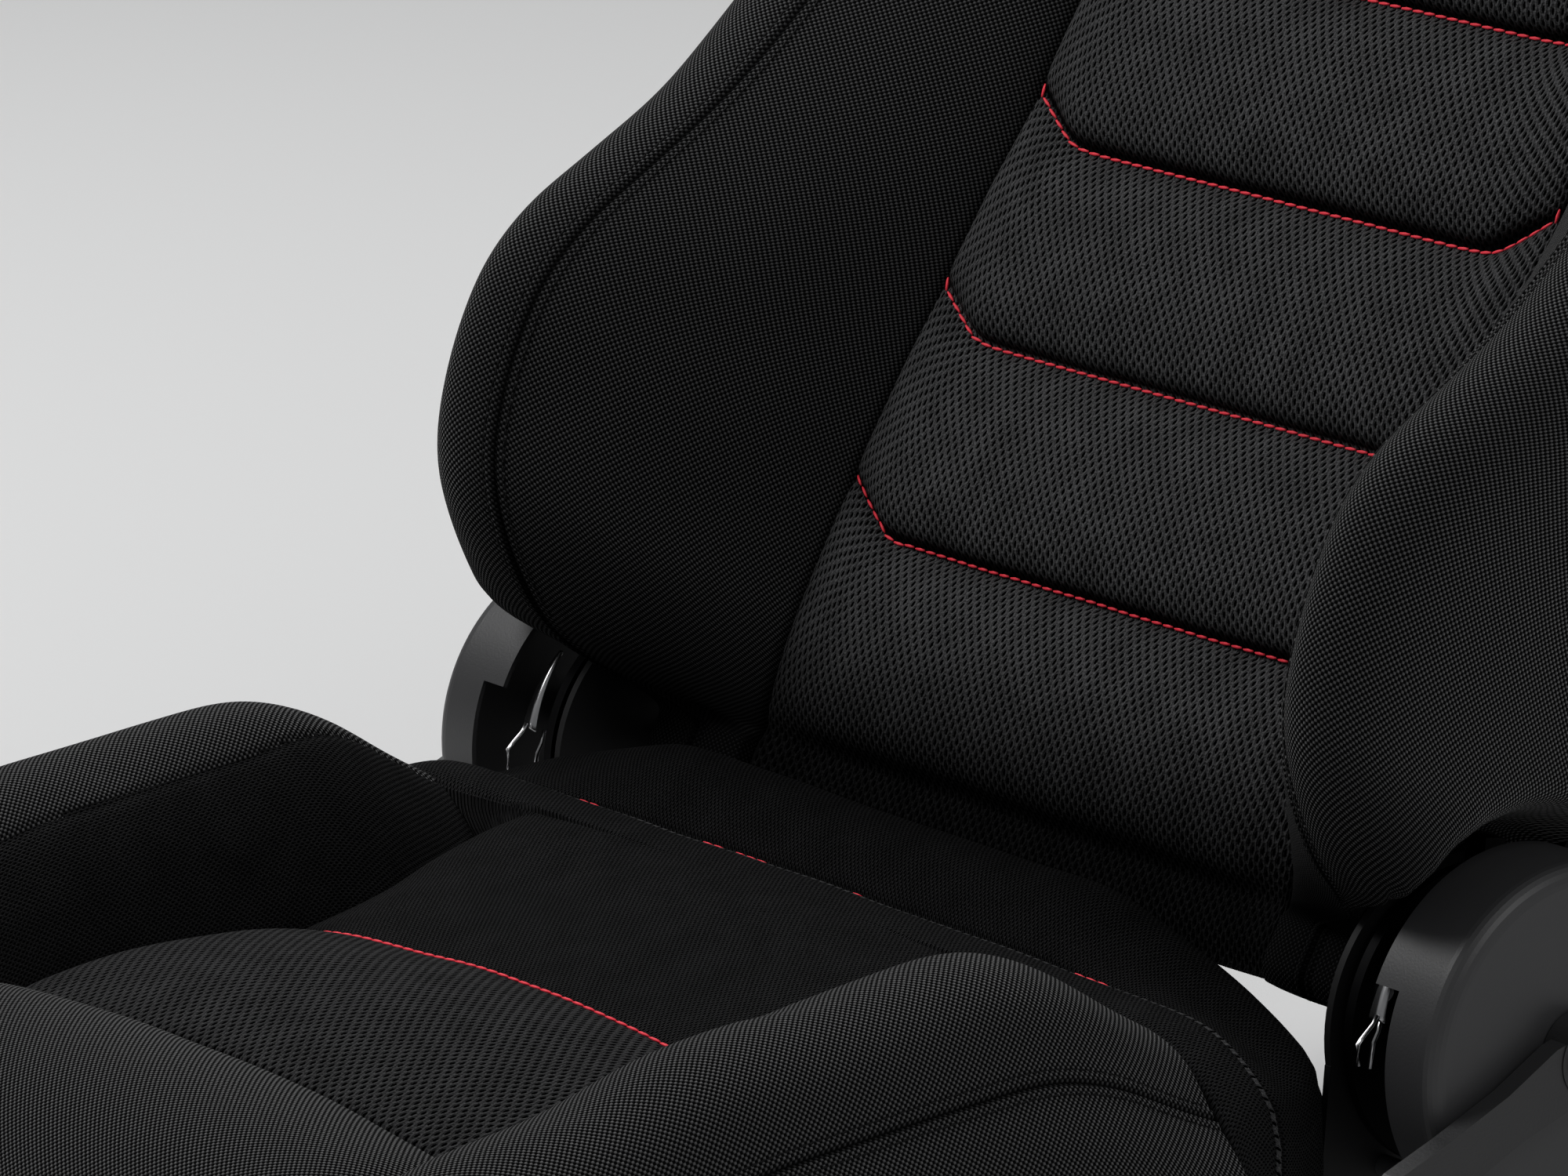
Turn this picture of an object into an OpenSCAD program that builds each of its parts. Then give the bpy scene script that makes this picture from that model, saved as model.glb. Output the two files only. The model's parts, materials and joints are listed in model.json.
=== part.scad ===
// Reclining sport seat on sliding floor rails, in millimetres, +Z up.
// The sitter faces -Y, so +X is the sitter's left. The origin is the centre of the four floor bolt
// holes, on the underside of the rails. Backrest pieces are drawn upright about the recliner axis.

/* [Floor rails] */
// Distance between the rails, centre to centre
rail_spacing = 330; // [310:5:350]
// Distance between the front and rear floor bolts
bolt_spacing = 352; // [340:2:400]
// Bore of a floor bolt hole
floor_hole_d = 8.5; // [6.5:0.5:10]
// Width of a lower rail
rail_w = 46; // [44:1:52]
// Height of a lower rail
rail_h = 24; // [22:1:28]
// Wall of the rails
rail_wall = 2.5; // [2:0.25:3]
// Slot between the lips of a lower rail
rail_slot = 20; // [18:1:22]
// Travel of the seat to each side of its rest place
slide_travel = 100; // [60:5:110]
// Pitch of the lock notches
notch_pitch = 12; // [10:1:14]
// Height of the upper rail's deck above the lower rail
deck_rise = 21; // [19:1:26]

/* [Seat frame] */
// Distance between the inner faces of the side plates
frame_w = 436; // [420:2:460]
// Thickness of the side plates
side_t = 3; // [2.5:0.5:4]
// Thickness of the rail brackets
bracket_t = 5; // [4:0.5:6]
// Length of a rail bracket along the rail
bracket_l = 50; // [46:1:56]
// Diameter of the seat cross tubes
tube_d = 22; // [20:1:24]
// Wall of all the tubes
tube_wall = 2; // [1.5:0.25:3]
// Diameter of the spring wire under the cushion
wire_d = 3.6; // [3:0.1:4]
// Number of zigzag springs
spring_count = 4; // [3:1:5]

/* [Recliner] */
// Height of the recliner axis above the cushion's underside
pivot_rise = 75; // [72:1:82]
// Distance of the recliner axis behind the floor bolts' centre
pivot_y = 175; // [165:1:190]
// Lean of the backrest from upright
recline = 31; // [24:1:36]
// Travel of the backrest back from its rest lean
recline_back = 35; // [25:1:38]
// Travel of the backrest forward from its rest lean
fold_forward = 25; // [20:1:26]
// Radius of the toothed disc on the recliner arm
disc_r = 56; // [54:1:58]
// Radius of the recliner cover
cover_r = 68; // [67:1:69]
// Wall of the recliner cover
cover_wall = 2; // [1.5:0.25:2.5]
// Diameter of the cross shaft
shaft_d = 16; // [14:1:18]
// Running clearance of a shaft in its bore
running_gap = 0.05; // [0.03:0.01:0.09]
// Length of a recline lever
lever_l = 112; // [90:2:130]

/* [Cushion] */
// Width of the cushion insert
insert_w = 300; // [280:4:320]
// Length of the cushion from its rear end to its nose
cushion_l = 463; // [440:1:490]
// How far the bolsters reach out past the side plates' inner faces
overhang = 52; // [48:1:54]
// Height of the insert at its red seam
insert_h = 79; // [72:1:86]
// Height of the bolsters at their crest
bolster_h = 132; // [122:1:140]
// Depth of a sewn groove
groove_d = 5; // [3:0.5:7]

/* [Backrest] */
// Height of the backrest along its lean, from the recliner axis to its top
back_l = 765; // [740:5:800]
// Width of the back insert at its foot
back_insert_w = 302; // [290:2:312]
// How far the back insert's face stands ahead of the recliner axis
back_face = 30; // [28:1:34]
// How far the back bolsters reach ahead of the recliner axis
back_bolster_d = 163; // [145:1:168]
// Height of the head pad, from the top of the back insert
head_h = 288; // [270:2:300]
// Height of the lowest channel above the recliner axis
channel_first = 99; // [94:1:106]
// Diameter of the backrest's uprights
post_d = 25; // [22:1:26]
// Width of a harness slot
slot_w = 80; // [70:2:86]
// Height of a harness slot
slot_h = 60; // [54:1:64]
// Distance between a harness slot and the edge of the back insert at its foot
slot_margin = 28; // [26:1:31]
// Thickness of the back shell
shell_t = 3; // [2:0.5:4]

/* [Hidden] */
$fn = 48;
soft_gap = 0.3;
rail_x = rail_spacing / 2;
hole_y = bolt_spacing / 2;
rail_l = bolt_spacing + 48;
rail_in_w = rail_w - 2 * rail_wall;
stop_w = 10;
stop_t = 2.5;
stop_h = 4.5;
glide_l = 30;
glide_floor = 5.5;
glide_y = hole_y - 11 - slide_travel - glide_l / 2;
stop_y = glide_y + glide_l / 2 + slide_travel + soft_gap;
foot_t = 5;
foot_w = rail_in_w - 5;
web_t = 12;
upper_l = rail_l - 60;
deck_w = 40;
deck_t = 3;
deck_z = rail_h + deck_rise;
frame_z = deck_z + bracket_t;
side_x = frame_w / 2;
side_out = side_x + side_t;
tube_r = tube_d / 2;
tube_z = frame_z + 24 + tube_r;
base_z = tube_z + tube_r + wire_d + 0.4;
pivot_z = base_z + pivot_rise;
cushion_rear = pivot_y - 37;
cushion_front_y = cushion_rear - cushion_l;
insert_front = cushion_front_y + 119;
insert_half = insert_w / 2;
bolster_out = side_x + overhang;
front_tube_y = cushion_front_y + 75;
rear_tube_y = cushion_rear - 13;
bracket_y = upper_l / 2 - bracket_l / 2;
bolt_x = rail_x + 13;
bolt_pair = 14;
flange_h = 22;
side_bolt_z = frame_z + 12;
deck_bolt_r = 3;
side_bolt_r = 4;
hole_gap = 0.3;
// Release bar
comb_tooth = 4.8;
notch_w = 7.6;
comb_y = -(glide_y + glide_l / 2 + notch_pitch + comb_tooth / 2 + 0.6);
bar_r = 5;
bar_x = rail_x - rail_w / 2 - bar_r - 1.5;
bar_z = rail_h + bar_r + 5;
bar_pivot_y = comb_y + 50;
bar_front_y = cushion_front_y - 20;
bar_bend = 30;
stud_r = 4;
// Recliner stack, outwards from the side plate
fixed_t = 4.5;
fixed_r = disc_r - 6;
arm_in = side_out + fixed_t + soft_gap;
arm_t = 4.2;
arm_out = arm_in + arm_t;
boss_r = 14;
keeper_in = arm_out + soft_gap;
keeper_t = 1.7;
keeper_out = keeper_in + keeper_t;
spring_in = keeper_out + 1;
spring_w = 8;
spring_strip = 1.8;
spring_outer = 43;
spring_turns = 3.1;
spring_end = 264;
cover_in = spring_in + spring_w + 7;
cover_out = cover_in + 36;
shallow_in = cover_out - 24;
cover_post_r = 4;
shaft_r = shaft_d / 2;
lever_in = cover_out + 0.6;
lever_t = 11;
lever_out = lever_in + lever_t;
lever_drop = 22;
// Backrest
back_half = back_insert_w / 2;
channels = 5;
insert_top = back_l - head_h;
channel_pitch = (insert_top - channel_first) / (channels - 0.5);
back_rear = 13.5;
post_r = post_d / 2;
post_x = arm_in - soft_gap - post_r;
post_v = -(back_rear + 4 + post_r);
post_top = insert_top + 57;
shell_v = post_v - post_r - 2.5;
wing_bottom = insert_top - 75;
slot_w0 = post_top + post_r + 1.5;
slot_mid = slot_w0 + slot_h / 2;
channel_bend = 0.73;
slot_x = back_half - slot_margin - slot_w / 2;
lip = 14;
lip_front = shaft_r + 4;
clear_r = cover_r + 2;

// ---- Curves and skins ----

// Slope of a table of [place, value] at entry i
function slope(t, i) = let (a = max(i - 1, 0), b = min(i + 1, len(t) - 1))
    (t[b][1] - t[a][1]) / (t[b][0] - t[a][0]);

// Smooth value of a rising table at s
function smooth(t, s, i = 0) =
    s <= t[0][0] ? t[0][1]
    : s >= t[len(t) - 1][0] ? t[len(t) - 1][1]
    : s > t[i + 1][0] ? smooth(t, s, i + 1)
    : let (h = t[i + 1][0] - t[i][0], u = (s - t[i][0]) / h,
           m0 = slope(t, i) * h, m1 = slope(t, i + 1) * h)
      (2 * u ^ 3 - 3 * u ^ 2 + 1) * t[i][1] + (u ^ 3 - 2 * u ^ 2 + u) * m0
      + (3 * u ^ 2 - 2 * u ^ 3) * t[i + 1][1] + (u ^ 3 - u ^ 2) * m1;

// Closed Catmull-Rom curve through points, with n steps between each pair
function round_ring(p, n) = let (m = len(p)) [for (i = [0:m - 1], k = [0:n - 1])
    let (u = k / n, a = p[(i + m - 1) % m], b = p[i], c = p[(i + 1) % m], d = p[(i + 2) % m])
    0.5 * (2 * b + (c - a) * u + (2 * a - 5 * b + 4 * c - d) * u ^ 2
        + (3 * b - a - 3 * c + d) * u ^ 3)];

function middle(ring) = [for (k = [0:2]) let (v = [for (p = ring) p[k]])
    (v * [for (p = ring) 1]) / len(ring)];

// Closed skin through rings of equal count, with a fan at each end
module skin(rings) {
    n = len(rings[0]);
    m = len(rings);
    points = concat([for (ring = rings) each ring], [middle(rings[0]), middle(rings[m - 1])]);
    sides = [for (i = [0:m - 2], j = [0:n - 1])
        let (a = i * n + j, b = i * n + (j + 1) % n, c = a + n, d = b + n)
        each [[a, d, b], [a, c, d]]];
    first = [for (j = [0:n - 1]) [m * n, j, (j + 1) % n]];
    last = [for (j = [0:n - 1]) [m * n + 1, (m - 1) * n + (j + 1) % n, (m - 1) * n + j]];
    polyhedron(points, concat(sides, first, last));
}

// Places a child, drawn upright about the recliner axis, at the backrest's lean
module back() {
    translate([0, pivot_y, pivot_z]) rotate([-recline, 0, 0]) children();
}

module other_side() {
    mirror([1, 0, 0]) children();
}

// Cylinder along X from a to b, at y and z
module rod_x(a, b, y, z, r) {
    translate([a, y, z]) rotate([0, 90, 0]) cylinder(h = b - a, r = r);
}

module tube_x(a, b, y, z, r) {
    difference() {
        rod_x(a, b, y, z, r);
        rod_x(a - 1, b + 1, y, z, r - tube_wall);
    }
}

// Plate in the side plane from a to b along X, drawn as [y, z]
module side_slab(a, b) {
    translate([a, 0, 0]) rotate([90, 0, 90]) linear_extrude(height = b - a) children();
}

// Bar along Y, centred, with its section drawn as [x, z]
module along_y(l) {
    translate([0, l / 2, 0]) rotate([90, 0, 0]) linear_extrude(height = l) children();
}

// ---- Rails ----

module lower_section() {
    difference() {
        translate([-rail_w / 2, 0]) square([rail_w, rail_h]);
        translate([-rail_in_w / 2, rail_wall]) square([rail_in_w, rail_h - 2 * rail_wall]);
        translate([-rail_slot / 2, rail_wall]) square([rail_slot, rail_h]);
    }
}

module lower_rail_left() {
    steps = floor(slide_travel / notch_pitch) + 1;
    color("dimgray") translate([rail_x, 0, 0]) {
        difference() {
            along_y(rail_l) lower_section();
            for (end = [-1, 1])
                translate([0, end * hole_y, -1]) cylinder(h = rail_wall + 2, d = floor_hole_d);
            for (k = [-steps:steps])
                translate([-rail_in_w / 2, comb_y + k * notch_pitch - notch_w / 2,
                    rail_h - rail_wall - 1])
                    cube([(rail_in_w - rail_slot) / 2 + 1, notch_w, rail_wall + 2]);
        }
        for (end = [-1, 1])
            translate([-stop_w / 2, end * (stop_y + stop_t / 2) - stop_t / 2, rail_wall])
                cube([stop_w, stop_t, stop_h]);
    }
}

module lower_rail_right() {
    other_side() lower_rail_left();
}

module upper_section() {
    foot_z = rail_wall + glide_floor;
    translate([-foot_w / 2, foot_z]) square([foot_w, foot_t]);
    translate([-web_t / 2, foot_z]) square([web_t, deck_z - foot_z]);
    translate([-deck_w / 2, deck_z - deck_t]) square([deck_w, deck_t]);
}

module upper_rail_left() {
    color("silver") difference() {
        union() {
            translate([rail_x, 0, 0]) along_y(upper_l) upper_section();
            rod_x(bar_x - 7.5, rail_x - web_t / 2 + 1, bar_pivot_y, bar_z, stud_r);
            rod_x(bar_x - 7.5, bar_x - 5.8, bar_pivot_y, bar_z, stud_r + 2.5);
        }
        for (end = [-1, 1], pair = [-1, 1])
            translate([bolt_x, end * bracket_y + pair * bolt_pair, deck_z - deck_t - 1])
                cylinder(h = deck_t + 2, r = deck_bolt_r + hole_gap);
    }
}

module upper_rail_right() {
    other_side() upper_rail_left();
}

module rail_glides() {
    glide_w = rail_in_w - 2 * soft_gap;
    glide_h = rail_h - 2 * rail_wall - 2 * soft_gap;
    color("ivory") for (side = [-1, 1], end = [-1, 1])
        translate([side * rail_x, end * glide_y, 0]) along_y(glide_l) difference() {
            translate([-glide_w / 2, rail_wall + soft_gap]) square([glide_w, glide_h]);
            upper_section();
        }
}

// ---- Slide release ----

module release_arm() {
    straight = bar_pivot_y - bar_front_y - bar_bend;
    difference() {
        union() {
            translate([bar_x, bar_pivot_y, bar_z]) rotate([90, 0, 0])
                cylinder(h = straight, r = bar_r);
            rod_x(bar_x - 5.5, bar_x + 5.5, bar_pivot_y, bar_z, stud_r + 4);
        }
        rod_x(bar_x - 9, bar_x + 9, bar_pivot_y, bar_z, stud_r + running_gap);
    }
    translate([bar_x - bar_bend, bar_front_y + bar_bend, bar_z]) rotate([0, 0, -90])
        rotate_extrude(angle = 90) translate([bar_bend, 0]) circle(r = bar_r);
    comb_w = rail_x - rail_slot / 2 - bar_x;
    translate([bar_x, comb_y - notch_pitch - comb_tooth / 2, rail_h + 4])
        cube([comb_w, 2 * notch_pitch + comb_tooth, 3]);
    for (k = [-1:1])
        translate([bar_x + comb_w - 9, comb_y + k * notch_pitch - comb_tooth / 2,
            rail_h + soft_gap]) cube([9, comb_tooth, 4]);
}

module release_bar() {
    color("#202022") {
        rod_x(bar_bend - bar_x, bar_x - bar_bend, bar_front_y, bar_z, bar_r);
        release_arm();
        other_side() release_arm();
    }
}

// ---- Seat frame ----

// Foot plate on the deck of the rail and a flange against the side plate, as [x, z]
module bracket_section() {
    translate([rail_x - deck_w / 2, deck_z]) square([side_x - rail_x + deck_w / 2, bracket_t]);
    translate([side_x - bracket_t, deck_z]) square([bracket_t, bracket_t + flange_h]);
}

module bracket(y) {
    translate([0, y, 0]) difference() {
        along_y(bracket_l) bracket_section();
        for (pair = [-1, 1]) {
            translate([bolt_x, pair * bolt_pair, deck_z - 1])
                cylinder(h = bracket_t + 2, r = deck_bolt_r + hole_gap);
            rod_x(side_x - bracket_t - 1, side_x + 1, pair * bolt_pair, side_bolt_z,
                side_bolt_r + hole_gap);
        }
    }
}

module front_brackets() {
    color("#28282a") {
        bracket(-bracket_y);
        other_side() bracket(-bracket_y);
    }
}

module rear_brackets() {
    color("#28282a") {
        bracket(bracket_y);
        other_side() bracket(bracket_y);
    }
}

module side_outline() {
    top = base_z - soft_gap;
    polygon([[cushion_front_y + 50, frame_z + 10], [cushion_front_y + 62, frame_z],
        [pivot_y - 25, frame_z], [pivot_y + 50, pivot_z - 28], [pivot_y, pivot_z],
        [pivot_y - 57.5, pivot_z - 10], [pivot_y - 63, top], [cushion_front_y + 50, top]]);
    translate([pivot_y, pivot_z]) circle(r = disc_r + 2);
}

module side_plate_left() {
    light_r = 14;
    color("#28282a") difference() {
        side_slab(side_x, side_out) side_outline();
        rod_x(side_x - 1, side_out + 1, pivot_y, pivot_z, shaft_r + 1);
        for (end = [-1, 1], pair = [-1, 1])
            rod_x(side_x - 1, side_out + 1, end * bracket_y + pair * bolt_pair, side_bolt_z,
                side_bolt_r + hole_gap);
        for (y = [front_tube_y + 45, -bracket_y + 60, 0, bracket_y - 60])
            rod_x(side_x - 1, side_out + 1, y, frame_z + 23, light_r);
    }
}

module side_plate_right() {
    other_side() side_plate_left();
}

module front_tube() {
    color("#28282a") tube_x(-side_x, side_x, front_tube_y, tube_z, tube_r);
}

module rear_tube() {
    color("#28282a") tube_x(-side_x, side_x, rear_tube_y, tube_z, tube_r);
}

// One zigzag wire laid along +Y: straight runs across X, joined by half turns
module zigzag(l, half_w, r) {
    runs = 15;
    bend = l / runs / 2;
    for (k = [0:runs]) {
        translate([-half_w, k * 2 * bend, 0]) rotate([0, 90, 0])
            cylinder(h = 2 * half_w, r = r, $fn = 16);
        if (k < runs)
            translate([(k % 2 == 0 ? 1 : -1) * half_w, (2 * k + 1) * bend, 0])
                rotate([0, 0, k % 2 == 0 ? -90 : 90])
                rotate_extrude(angle = 180) translate([bend, 0]) circle(r = r, $fn = 16);
    }
}

module cushion_springs() {
    pitch = (insert_w - 60) / (spring_count - 1);
    z = tube_z + tube_r + wire_d / 2 + 0.1;
    color("#4a4a4c") for (k = [0:spring_count - 1])
        translate([-insert_half + 30 + k * pitch, front_tube_y, z])
            zigzag(rear_tube_y - front_tube_y, 12, wire_d / 2);
}

module frame_bolts() {
    nut_t = 5;
    color("silver") for (side = [-1, 1], end = [-1, 1], pair = [-1, 1]) {
        y = end * bracket_y + pair * bolt_pair;
        translate([side * bolt_x, y, deck_z - deck_t - nut_t]) {
            cylinder(h = nut_t, r = deck_bolt_r + 2.6, $fn = 6);
            cylinder(h = nut_t + deck_t + bracket_t, r = deck_bolt_r);
            translate([0, 0, nut_t + deck_t + bracket_t])
                cylinder(h = 4, r = deck_bolt_r + 2.6, $fn = 6);
        }
        mirror([side < 0 ? 1 : 0, 0, 0]) {
            rod_x(side_x - bracket_t - 6, side_x - bracket_t, y, side_bolt_z, side_bolt_r + 3);
            rod_x(side_x - bracket_t, side_out, y, side_bolt_z, side_bolt_r);
            rod_x(side_out, side_out + 5, y, side_bolt_z, side_bolt_r + 3);
        }
    }
}

// ---- Cushion ----

// Height of the insert at d behind-to-front from the cushion's rear end, above its underside
insert_tops = [[0, 18 - insert_h], [4, 50 - insert_h], [14, 7], [26, 27], [41, 35], [54, 30],
    [66, 18], [73, 12], [80, 17], [108, 18], [141, 15], [178, 8], [202, 3], [209, 0], [216, 3],
    [248, 8], [285, 11], [322, 8], [344, 3]];
// Place where the insert widens behind the bolsters, and its half widths from its rear end to there
bolster_rear = cushion_front_y + 10 + 352 * (cushion_l - 40) / 423;
wide_from = cushion_rear - bolster_rear - 2 * soft_gap;
wide_halves = [[0, -2.5], [33, -2.5], [33.6, 14], [41, 24], [54, 30], [66, 34], [80, 38], [100, 44]];
// How much of the hump's fall towards the sides stays at a place
hump_shares = [[0, 1], [54, 1], [66, 0.35], [73, 0]];
insert_crowns = [[0, 2], [100, 4], [160, 13]];

function insert_at(d) = d > wide_from ? insert_half : side_x + smooth(wide_halves, d);

// Fall of the insert's top towards its sides: the hump's, and a roll down beside the bolsters' outer faces
function side_fall(d, x) = 32 * smooth(hump_shares, d) * (max(0, abs(x) - 118) / 117) ^ 1.1
    + 26 * (1 - smooth(hump_shares, d)) * (max(0, abs(x) - 205) / 57) ^ 2;

// Ring of a pad across X, with its top at h, falling by crown and edge towards its sides
function pad_ring(y, half, h, crown, edge, d = 400) = concat(
    [for (t = [-1, -0.97, -0.9, -0.75, -0.5, -0.25, 0, 0.25, 0.5, 0.75, 0.9, 0.97, 1])
        [t * half, y, h - min(h - 6, crown * t ^ 2 + edge * t ^ 14 + side_fall(d, t * half))]],
    [[half * 0.99, y, 3], [half * 0.95, y, 0], [0, y, 0], [-half * 0.95, y, 0],
     [-half * 0.99, y, 3]]);

module cushion_insert() {
    l = cushion_rear - insert_front;
    stops = concat([for (p = insert_tops) if (p[0] < 33) p[0]], [33, 33.6],
        [for (p = insert_tops) if (p[0] > 34 && p[0] < 99) p[0]], [wide_from, wide_from + soft_gap],
        [for (p = insert_tops) if (p[0] > 101) p[0] * l / 344]);
    color("#2c2c2e") translate([0, cushion_rear, base_z])
        skin([for (d = stops)
            pad_ring(-d, insert_at(d) - soft_gap, smooth(insert_tops, d > 101 ? d * 344 / l : d) + insert_h,
                smooth(insert_crowns, d), 8, d)]);
}

nose_tops = [[0, 3], [10, 9], [30, 14], [55, 14], [80, 6], [100, -14], [112, -36], [119, -62]];

module cushion_nose() {
    color("#1a1a1c") translate([0, insert_front - 0.6, base_z])
        skin([for (p = nose_tops)
            pad_ring(-p[0] + (p[0] > 0 ? 0.6 : 0), insert_half - soft_gap, insert_h + p[1], 10, 8)]);
}

// Crest of a cushion bolster, as a drop below its height, at a place behind the nose
cushion_crests = [[0, 88], [5, 60], [16, 40], [40, 27], [70, 21], [100, 16], [147, 5], [192, 1],
    [240, -2], [276, -2], [305, 8], [335, 28], [352, 38]];

// Ring of a cushion bolster across X: it rises from the insert, rolls over and falls outside
function bolster_ring(y, c) = let (a = insert_half, o = bolster_out, k = (o - a) / 112)
    [for (p = round_ring([[a, 5], [a, c * 0.45], [a + 12 * k, c * 0.74], [a + 34 * k, c * 0.96],
        [a + 55 * k, c], [a + 76 * k, c * 0.93], [a + 91 * k, c * 0.74], [o - 1, c * 0.48],
        [o - 3, 14], [o - 22 * k, 0], [a + 14, 0]], 2))
        [max(p[0], a), y, max(p[1], 0)]];

module cushion_bolster_left() {
    color("#151517") translate([0, cushion_front_y + 10, base_z])
        skin([for (k = [len(cushion_crests) - 1:-1:0])
            bolster_ring(cushion_crests[k][0] * (cushion_l - 40) / 423,
                bolster_h - cushion_crests[k][1])]);
}

module cushion_bolster_right() {
    other_side() cushion_bolster_left();
}

// ---- Recliner, fixed side ----

module at_pivot(a) {
    translate([a, pivot_y, pivot_z]) rotate([0, 90, 0]) children();
}

// Wedge of a ring in the side plane: angles from upright towards the rear
module ring_lug(a, b, r0, r1, from, to) {
    side_slab(a, b) translate([pivot_y, pivot_z]) polygon(concat(
        [for (t = [from, (from + to) / 2, to]) r0 * [sin(t), cos(t)]],
        [for (t = [to, (from + to) / 2, from]) r1 * [sin(t), cos(t)]]));
}

// Edges of the arm behind its own axis, and the angles that they stand at where the stops meet them
arm_front = -post_v - 16;
arm_rear = -post_v + 14;
arm_front_edge = asin(arm_front / (cover_r - 3));
arm_rear_edge = asin(arm_rear / (disc_r + 1));

// Stop for the arm's edge: a tab from the fixed disc, turned out into the plane of the arm
module stop_lug(from) {
    tab_t = 2;
    ring_lug(side_out, side_out + tab_t, fixed_r - 6, cover_r - 2.5, from - 0.6, from + 9.6);
    ring_lug(side_out + tab_t, arm_out, disc_r + 1, cover_r - 3, from, from + 9);
}

module recliner_disc_left() {
    color("#303033") {
        difference() {
            union() {
                at_pivot(side_out) cylinder(h = fixed_t, r = fixed_r);
                at_pivot(side_out) cylinder(h = keeper_in - side_out, r = boss_r);
            }
            rod_x(side_x, keeper_out, pivot_y, pivot_z, shaft_r + running_gap);
        }
        stop_from = recline + recline_back + arm_rear_edge + 1.5;
        stop_lug(stop_from);
        fold_to = recline - fold_forward + arm_front_edge - 1.5;
        stop_lug(fold_to - 9);
    }
}

module recliner_disc_right() {
    other_side() recliner_disc_left();
}

module recliner_keepers() {
    color("silver") for (side = [0, 1]) mirror([side, 0, 0]) difference() {
        union() {
            at_pivot(keeper_in) cylinder(h = keeper_t, r = boss_r + 7);
            at_pivot(keeper_in) cylinder(h = spring_in + spring_w - keeper_in, r = boss_r - 1);
        }
        rod_x(keeper_in - 1, cover_in, pivot_y, pivot_z, shaft_r + 0.4);
    }
}

// Flat strip wound in a spiral, from its post to its outer leg
module spiral_spring_left() {
    strip = spring_strip;
    inner = boss_r - 1 + strip / 2 + 0.1;
    steps = 74;
    path = [for (k = [0:steps])
        let (t = k / steps, r = inner + (spring_outer - inner) * t,
            g = spring_end + 360 * spring_turns * (1 - t))
        [r * cos(g), r * sin(g), r, g]];
    color("#8a8a8c") side_slab(spring_in, spring_in + spring_w) translate([pivot_y, pivot_z])
        polygon(concat([for (p = path) (p[2] + strip / 2) * [cos(p[3]), sin(p[3])]],
            [for (k = [steps:-1:0]) (path[k][2] - strip / 2) * [cos(path[k][3]), sin(path[k][3])]]));
}

module spiral_spring_right() {
    other_side() spiral_spring_left();
}

// Cup with a rounded outer edge; its rim is shallower at the front and below
module recliner_cover_left() {
    edge = 7;
    profile = concat([[0, cover_out - cover_wall], [0, cover_out]],
        [for (t = [90:-15:0]) [cover_r - edge + edge * cos(t), cover_out - edge + edge * sin(t)]],
        [[cover_r, cover_in], [cover_r - cover_wall, cover_in]],
        [for (t = [0:15:90]) [cover_r - edge + (edge - cover_wall) * cos(t),
            cover_out - edge + (edge - cover_wall) * sin(t)]]);
    step_from = 115;
    step_to = 295;
    color("#3a3a3c") {
        difference() {
            at_pivot(0) rotate([0, 0, 90]) rotate_extrude($fn = 96) polygon(profile);
            rod_x(cover_out - 5, cover_out + 1, pivot_y, pivot_z, shaft_r + 1);
            ring_cut(cover_in - 1, shallow_in, step_from, step_to);
        }
        for (g = [-150, 165])
            translate([0, pivot_y + (cover_r - 7) * sin(g), pivot_z + (cover_r - 7) * cos(g)])
                rotate([0, 90, 0]) translate([0, 0, side_out])
                cylinder(h = cover_out - cover_wall - side_out, r = cover_post_r);
    }
}

// Sector that leaves the deep rim only over the top and the rear
module ring_cut(a, b, from, to) {
    big = cover_r + 10;
    side_slab(a, b) translate([pivot_y, pivot_z]) polygon(concat([[0, 0]],
        [for (k = [0:8]) let (t = from + (to - from) * k / 8) big * [sin(t), cos(t)]]));
}

module recliner_cover_right() {
    other_side() recliner_cover_left();
}

// ---- Recline release ----

module cross_shaft() {
    color("silver") rod_x(-lever_out, lever_out, pivot_y, pivot_z, shaft_r);
}

// Lever blade drawn along -Y from its hub: [y, half height]
lever_blade = [[4, 10], [-14, 12.5], [-40, 10], [-70, 10.5], [-96, 12], [-108, 9]];

module recline_lever_left() {
    stretch = lever_l / 112;
    color("#1c1c1e") difference() {
        union() {
            at_pivot(lever_in) cylinder(h = lever_t, r = 15);
            translate([0, pivot_y, pivot_z]) rotate([lever_drop, 0, 0])
                side_slab(lever_in + 2.5, lever_out - 0.5) polygon(concat(
                    [for (p = lever_blade) [p[0] * stretch, p[1]]], [[-lever_l, 0]],
                    [for (k = [len(lever_blade) - 1:-1:0])
                        [lever_blade[k][0] * stretch, -lever_blade[k][1]]]));
        }
        rod_x(lever_in - 1, lever_out + 1, pivot_y, pivot_z, shaft_r + running_gap);
    }
}

module recline_lever_right() {
    other_side() recline_lever_left();
}

module lever_caps() {
    color("#303033") for (side = [0, 1]) mirror([side, 0, 0])
        at_pivot(lever_out) cylinder(h = 2, r = shaft_r + 3);
}

// ---- Backrest frame ----

module recliner_arm_left() {
    tail = 190;
    peg_r = 4;
    peg_at = spring_outer + spring_strip / 2 + soft_gap + peg_r;
    color("#48484b") rod_x(arm_in, spring_in + spring_w, pivot_y + peg_at * cos(spring_end),
        pivot_z + peg_at * sin(spring_end), peg_r);
    color("#48484b") back() difference() {
        side_slab(arm_in, arm_out) union() {
            circle(r = disc_r);
            polygon([[arm_front, 0], [arm_rear, 0], [arm_rear, tail],
                [arm_front + 4, tail], [arm_front, tail - 14]]);
        }
        rod_x(arm_in - 1, arm_out + 1, 0, 0, boss_r + running_gap);
    }
}

module recliner_arm_right() {
    other_side() recliner_arm_left();
}

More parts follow.
